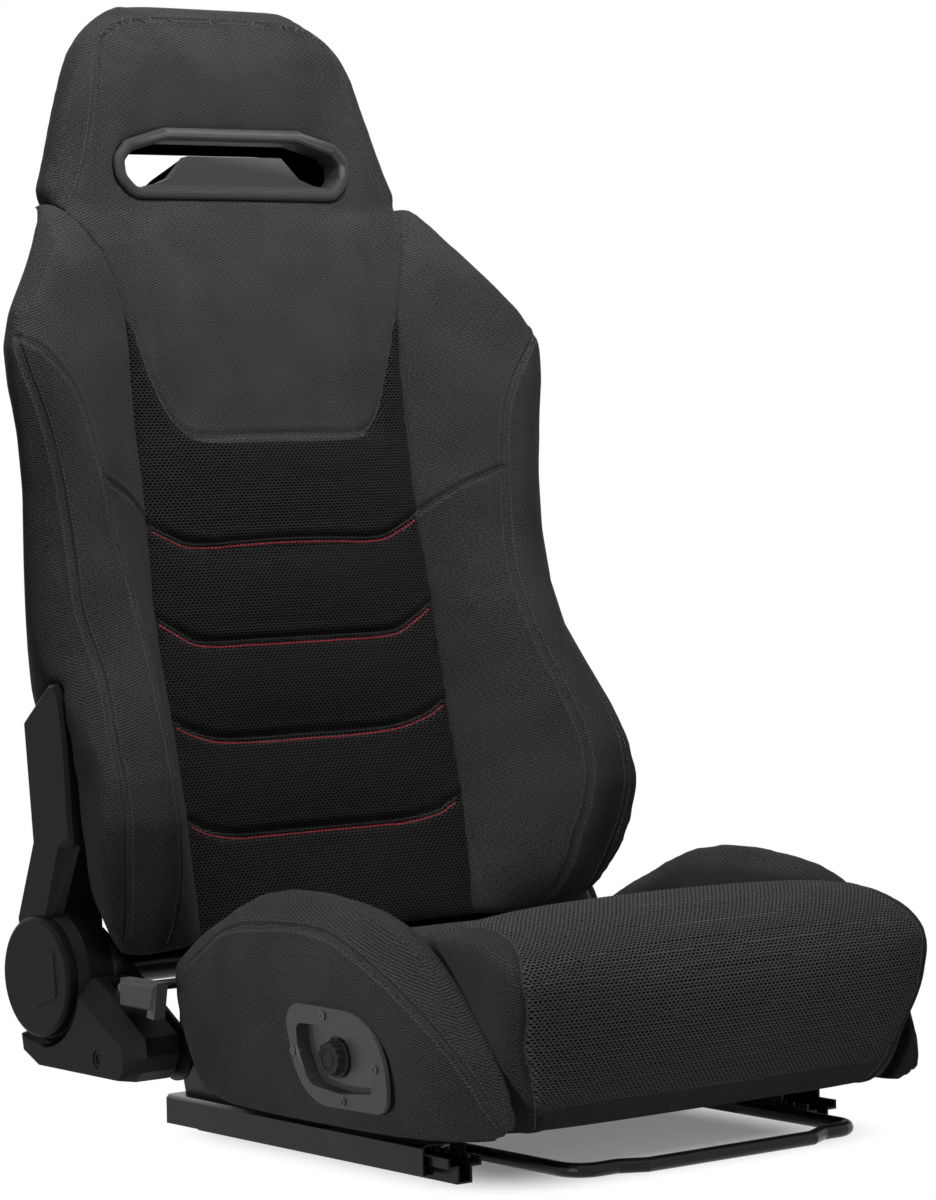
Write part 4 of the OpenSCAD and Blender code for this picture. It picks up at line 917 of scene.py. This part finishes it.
cushion = {
    "voxelMm": 5,
    "smoothing": 3,
    "fill": {"pressure": 4, "capMm": 5, "pinMm": 7},
    "sewnAlong": [
        (195, -120, 196), (195, -170, 203), (195, -203, 207), (198, -238, 204), (201, -258, 198),
        (206, -273, 188), (212, -283, 172), (208, -281, 145), (207, -278, 119), (199, -275, 99),
        (186, -262, 69), (178, -250, 52),
    ],
    "seam": {"depth": 2.0, "width": 2.6, "roll": 0.8},
    "profile": [
        (176, 158), (100, 163), (0, 177), (-110, 198), (-200, 218), (-250, 214), (-275, 203),
        (-287, 188), (-296, 158), (-292, 105), (-284, 66), (-270, 46),
    ],
    # The nose swells at its upper corners and draws in below
    "nose": (-0.24, -0.15),
    "corners": {"swell": 1.035, "height": (0.08, 0.14)},
    "under": {"mm": 16, "height": (0.035, 0.13)},
    "held": {"across": 0.206, "underFacing": -0.4, "rear": 0.15, "low": 0.055},
    "knit": {"from": -0.1, "underFacing": -0.5, "rearHalf": 0.3, "plain": -0.01},
}


def runAlong(coords, settings):
    # How far each point lies along the cushion's outline, from the rear over the nose
    line = curveThrough([(0, y, z) for y, z in settings["profile"]], 1.0)
    return distanceTo(coords * (0, 1, 1), line)[1] * mm


def shapeNose(piece, settings):
    corners, under = settings["corners"], settings["under"]
    coords = coordsOf(piece)
    nose = 1 - ramp(coords[:, 1], *settings["nose"])
    coords[:, 0] *= 1 + (corners["swell"] - 1) * nose * ramp(coords[:, 2], *corners["height"])
    coords[:, 1] += nose * (1 - ramp(coords[:, 2], *under["height"])) * under["mm"] * mm
    setCoords(piece, coords)


def buildCushion(settings):
    piece = softForm("seat_cushion", ["cushion_pad"], settings)
    shapeNose(piece, settings)
    surface = surfaceOf(piece)
    sewn = settings["sewnAlong"]
    seams = [laidOn(surface, curveThrough(points))[0] for points in (sewn, flip(sewn))]
    limits, knit = settings["held"], settings["knit"]

    def held(coords, normals):
        aside = (np.abs(coords[:, 0]) > limits["across"]) | (normals[:, 2] < limits["underFacing"])
        return aside | (coords[:, 1] > limits["rear"]) | (coords[:, 2] < limits["low"])

    inflate(piece, seams, held, settings["fill"])
    refine(piece)
    pressSeams(piece, [dict(settings["seam"], line=line) for line in seams])
    layWeave(piece)
    coords = coordsOf(piece)
    run = runAlong(coords, settings)
    layRows(piece, np.column_stack([coords[:, 0], run]))
    seamRun = runAlong(seams[0], settings)
    order = np.argsort(seamRun)
    limit = np.interp(run, seamRun[order], seams[0][order, 0], left=knit["rearHalf"])
    inKnit = (normalsOf(piece)[:, 2] > knit["underFacing"]) | (coords[:, 1] >= knit["from"])
    markKnit(piece, np.where(inKnit, limit - np.abs(coords[:, 0]), knit["plain"]))
    piece.data.materials.append(seatCloth)
    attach(piece, "seat")
    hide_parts("cushion_pad")
    return piece, seams


cushionPiece, cushionSeams = buildCushion(cushion)
print("cushion made")

# Rear cover of the backrest, a thin padded panel

rearCover = {
    "voxelMm": 3,
    "smoothing": 2,
    "panelSeams": [(150, 0, 190), (158, 0, 300), (160, 0, 500), (156, 0, 690), (128, 0, 760)],
    "behind": 0.5,  # metres, from where the seams are laid on it
    "seam": {"depth": 1.2, "width": 2.6, "roll": 0.6},
}


def buildRearCover(settings):
    piece = softForm("rear_panel", ["rear_cover"], settings)
    surface = surfaceOf(piece)
    lines = []
    for points in (settings["panelSeams"], flip(settings["panelSeams"])):
        line = curveThrough(points)
        line[:, 1] = settings["behind"]
        lines.append(laidOn(surface, line)[0])
    pressSeams(piece, [dict(settings["seam"], line=line) for line in lines])
    piece.data.shade_smooth()
    layWeave(piece)
    piece.data.materials.append(twillCloth)
    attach(piece, "backrest")
    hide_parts("rear_cover")
    return piece, lines


rearPiece, rearSeams = buildRearCover(rearCover)
print("rear cover made")

# Dark tubes of painted shade along the seams, and the stitches beside them

sewing = {
    # the seam entry sizes the dark tubes of painted seam shade
    "seam": {"radiusMm": 0.7, "sides": 6},
    "rowMm": 4.6,
    "grey": {"lengthMm": 2.7, "widthMm": 0.9, "pitchMm": 3.8},
    "redRowMm": 3.6,
    "red": {"lengthMm": 3.2, "widthMm": 1.9, "pitchMm": 3.9},
}

seamShadeLines = {"backrest": [], "seat": []}
stitchRows = {"backrest": [], "seat": []}
redRows = []


def addSeam(body, piece, line, rows):
    surface = surfaceOf(piece)
    laid, facing = laidOn(surface, line)
    seamShadeLines[body].append(laid)
    for offset in rows:
        stitchRows[body].append((laid, facing, offset, surface))


row = sewing["rowMm"]
for piece, (ridge, outer, cross) in wings:
    addSeam("backrest", piece, ridge, (-row, row))
    addSeam("backrest", piece, outer, (-row, row))
    addSeam("backrest", piece, cross, ())
for line, rows in ((headEdges[0], ()), (plainEdge, ()), (headEdges[1], (-row,)), (headEdges[2], (row,))):
    addSeam("backrest", backPiece, line, rows)
for piece, line in bolsters:
    addSeam("seat", piece, line, (-row, row))
for line in cushionSeams:
    addSeam("seat", cushionPiece, line, ())
for line in rearSeams:
    addSeam("backrest", rearPiece, line, (-row, row))
probe = 5  # the point of a channel at which the side of its red row is found
for line in channelLines:
    laid, facing = laidOn(backSurface, line)
    seamShadeLines["backrest"].append(laid)
    downward = 1 if np.cross(facing[probe], laid[probe + 1] - laid[probe])[2] < 0 else -1
    redRows.append((laid, facing, downward * sewing["redRowMm"], backSurface))

for body, label in (("backrest", "back"), ("seat", "seat")):
    # Thin near-black tubes along every seam: painted shade of the seam creases
    piece = tubes(label + "_seam_shade", seamShadeLines[body], material=thread["seamShade"], **sewing["seam"])
    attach(piece, body)
    piece = stitches(label + "_stitches", stitchRows[body], material=thread["greyThread"], **sewing["grey"])
    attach(piece, body)
piece = stitches("red_stitches", redRows, material=thread["redThread"], **sewing["red"])
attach(piece, "backrest")
print("seams sewn")

# Floor, world and lamps

studio = {
    "floorHalf": 9,
    "shadowAt": (0, -0.02, 0),
    "shadowHalf": (0.13, 0.14, 0),
    "fadeFrom": 0.0,
    "fadeTo": 0.12,
    "shadowGlow": 0.19,
    "greyUnseen": (0.35, 0.35, 0.35, 1),  # what light bounces off, and below what the camera sees
    "greySeen": (0.72, 0.72, 0.72, 1),
    "white": (1, 1, 1, 1),
    "worldFill": 0.02,
    "lamps": {
        "overhead": {"at": (-0.4, -0.45, 2.5), "aim": (0, 0.1, 0.5), "size": 1.5, "watts": 30,
            "spread": 180},
        "upper": {"at": (-0.5, -1.5, 2.6), "aim": (0, 0.3, 0.95), "size": 0.8, "watts": 1.1, "spread": 24},
        "low_left": {"at": (-2.6, -0.9, 0.35), "aim": (-0.27, -0.1, 0.12), "size": 0.5, "watts": 0.28,
            "spread": 14},
        "nose": {"at": (0.6, -2.6, 0.9), "aim": (0.05, -0.3, 0.08), "size": 0.4, "watts": 0.05,
            "spread": 8},
        "rear": {"at": (0.6, 2.8, 1.6), "aim": (0, 0.3, 0.5), "size": 1.4, "watts": 22, "spread": 180},
    },
}


def seesWhite(tree):
    # 1 for the camera and what it sees mirrored or through something, 0 for light that bounces
    paths = addNode(tree, "ShaderNodeLightPath").outputs
    seen = calc(tree, "MAXIMUM", paths["Is Camera Ray"], paths["Is Glossy Ray"])
    return calc(tree, "MAXIMUM", seen, paths["Is Transmission Ray"])


def makeFloor(settings):
    bpy.ops.mesh.primitive_plane_add(size=2 * settings["floorHalf"], location=(0, 0, 0))
    floor = bpy.context.active_object
    floor.name = "floor"
    material = bpy.data.materials.new("paintedFloor")
    material.use_nodes = True
    tree = material.node_tree
    tree.nodes.clear()
    place = addNode(tree, "ShaderNodeTexCoord").outputs["Object"]
    aside = calcVector(tree, "ABSOLUTE", calcVector(tree, "SUBTRACT", place, settings["shadowAt"]))
    aside = calcVector(tree, "SUBTRACT", aside, settings["shadowHalf"])
    aside = calcVector(tree, "MAXIMUM", aside, (0, 0, 0))
    fade = addNode(tree, "ShaderNodeMapRange", {"Value": calcVector(tree, "LENGTH", aside),
        "From Min": settings["fadeFrom"], "From Max": settings["fadeTo"], "To Min": settings["shadowGlow"],
        "To Max": 1.0}, interpolation_type="SMOOTHSTEP")
    seen = seesWhite(tree)
    factor = calc(tree, "MULTIPLY", seen, fade.outputs[0])
    shade = blend(tree, seen, settings["greyUnseen"], settings["greySeen"])
    paint = addNode(tree, "ShaderNodeBsdfDiffuse", {"Color": shade})
    white = addNode(tree, "ShaderNodeEmission", {"Color": settings["white"], "Strength": 1.0})
    mixed = addNode(tree, "ShaderNodeMixShader", {0: factor, 1: paint.outputs[0], 2: white.outputs[0]})
    addNode(tree, "ShaderNodeOutputMaterial", {"Surface": mixed.outputs[0]})
    floor.data.materials.append(material)


def makeWorld(settings):
    world = bpy.data.worlds.new("studio")
    bpy.context.scene.world = world
    world.use_nodes = True
    tree = world.node_tree
    tree.nodes.clear()
    fill = {"Value": seesWhite(tree), "To Min": settings["worldFill"], "To Max": 1.0}
    strength = addNode(tree, "ShaderNodeMapRange", fill).outputs[0]
    sky = addNode(tree, "ShaderNodeBackground", {"Color": settings["white"], "Strength": strength})
    addNode(tree, "ShaderNodeOutputWorld", {"Surface": sky.outputs[0]})


def makeLamps(settings):
    for name, lamp in settings["lamps"].items():
        data = bpy.data.lights.new(name, "AREA")
        data.shape = "DISK"
        data.size = lamp["size"]
        data.energy = lamp["watts"]
        data.spread = math.radians(lamp["spread"])
        light = bpy.data.objects.new(name, data)
        bpy.context.scene.collection.objects.link(light)
        away = Vector(lamp["aim"]) - Vector(lamp["at"])
        turned = away.to_track_quat("-Z", "Y").to_matrix().to_4x4()
        light.matrix_world = Matrix.Translation(lamp["at"]) @ turned


makeFloor(studio)
makeWorld(studio)
makeLamps(studio)
bpy.context.scene.view_settings.view_transform = "Standard"
print("studio set")
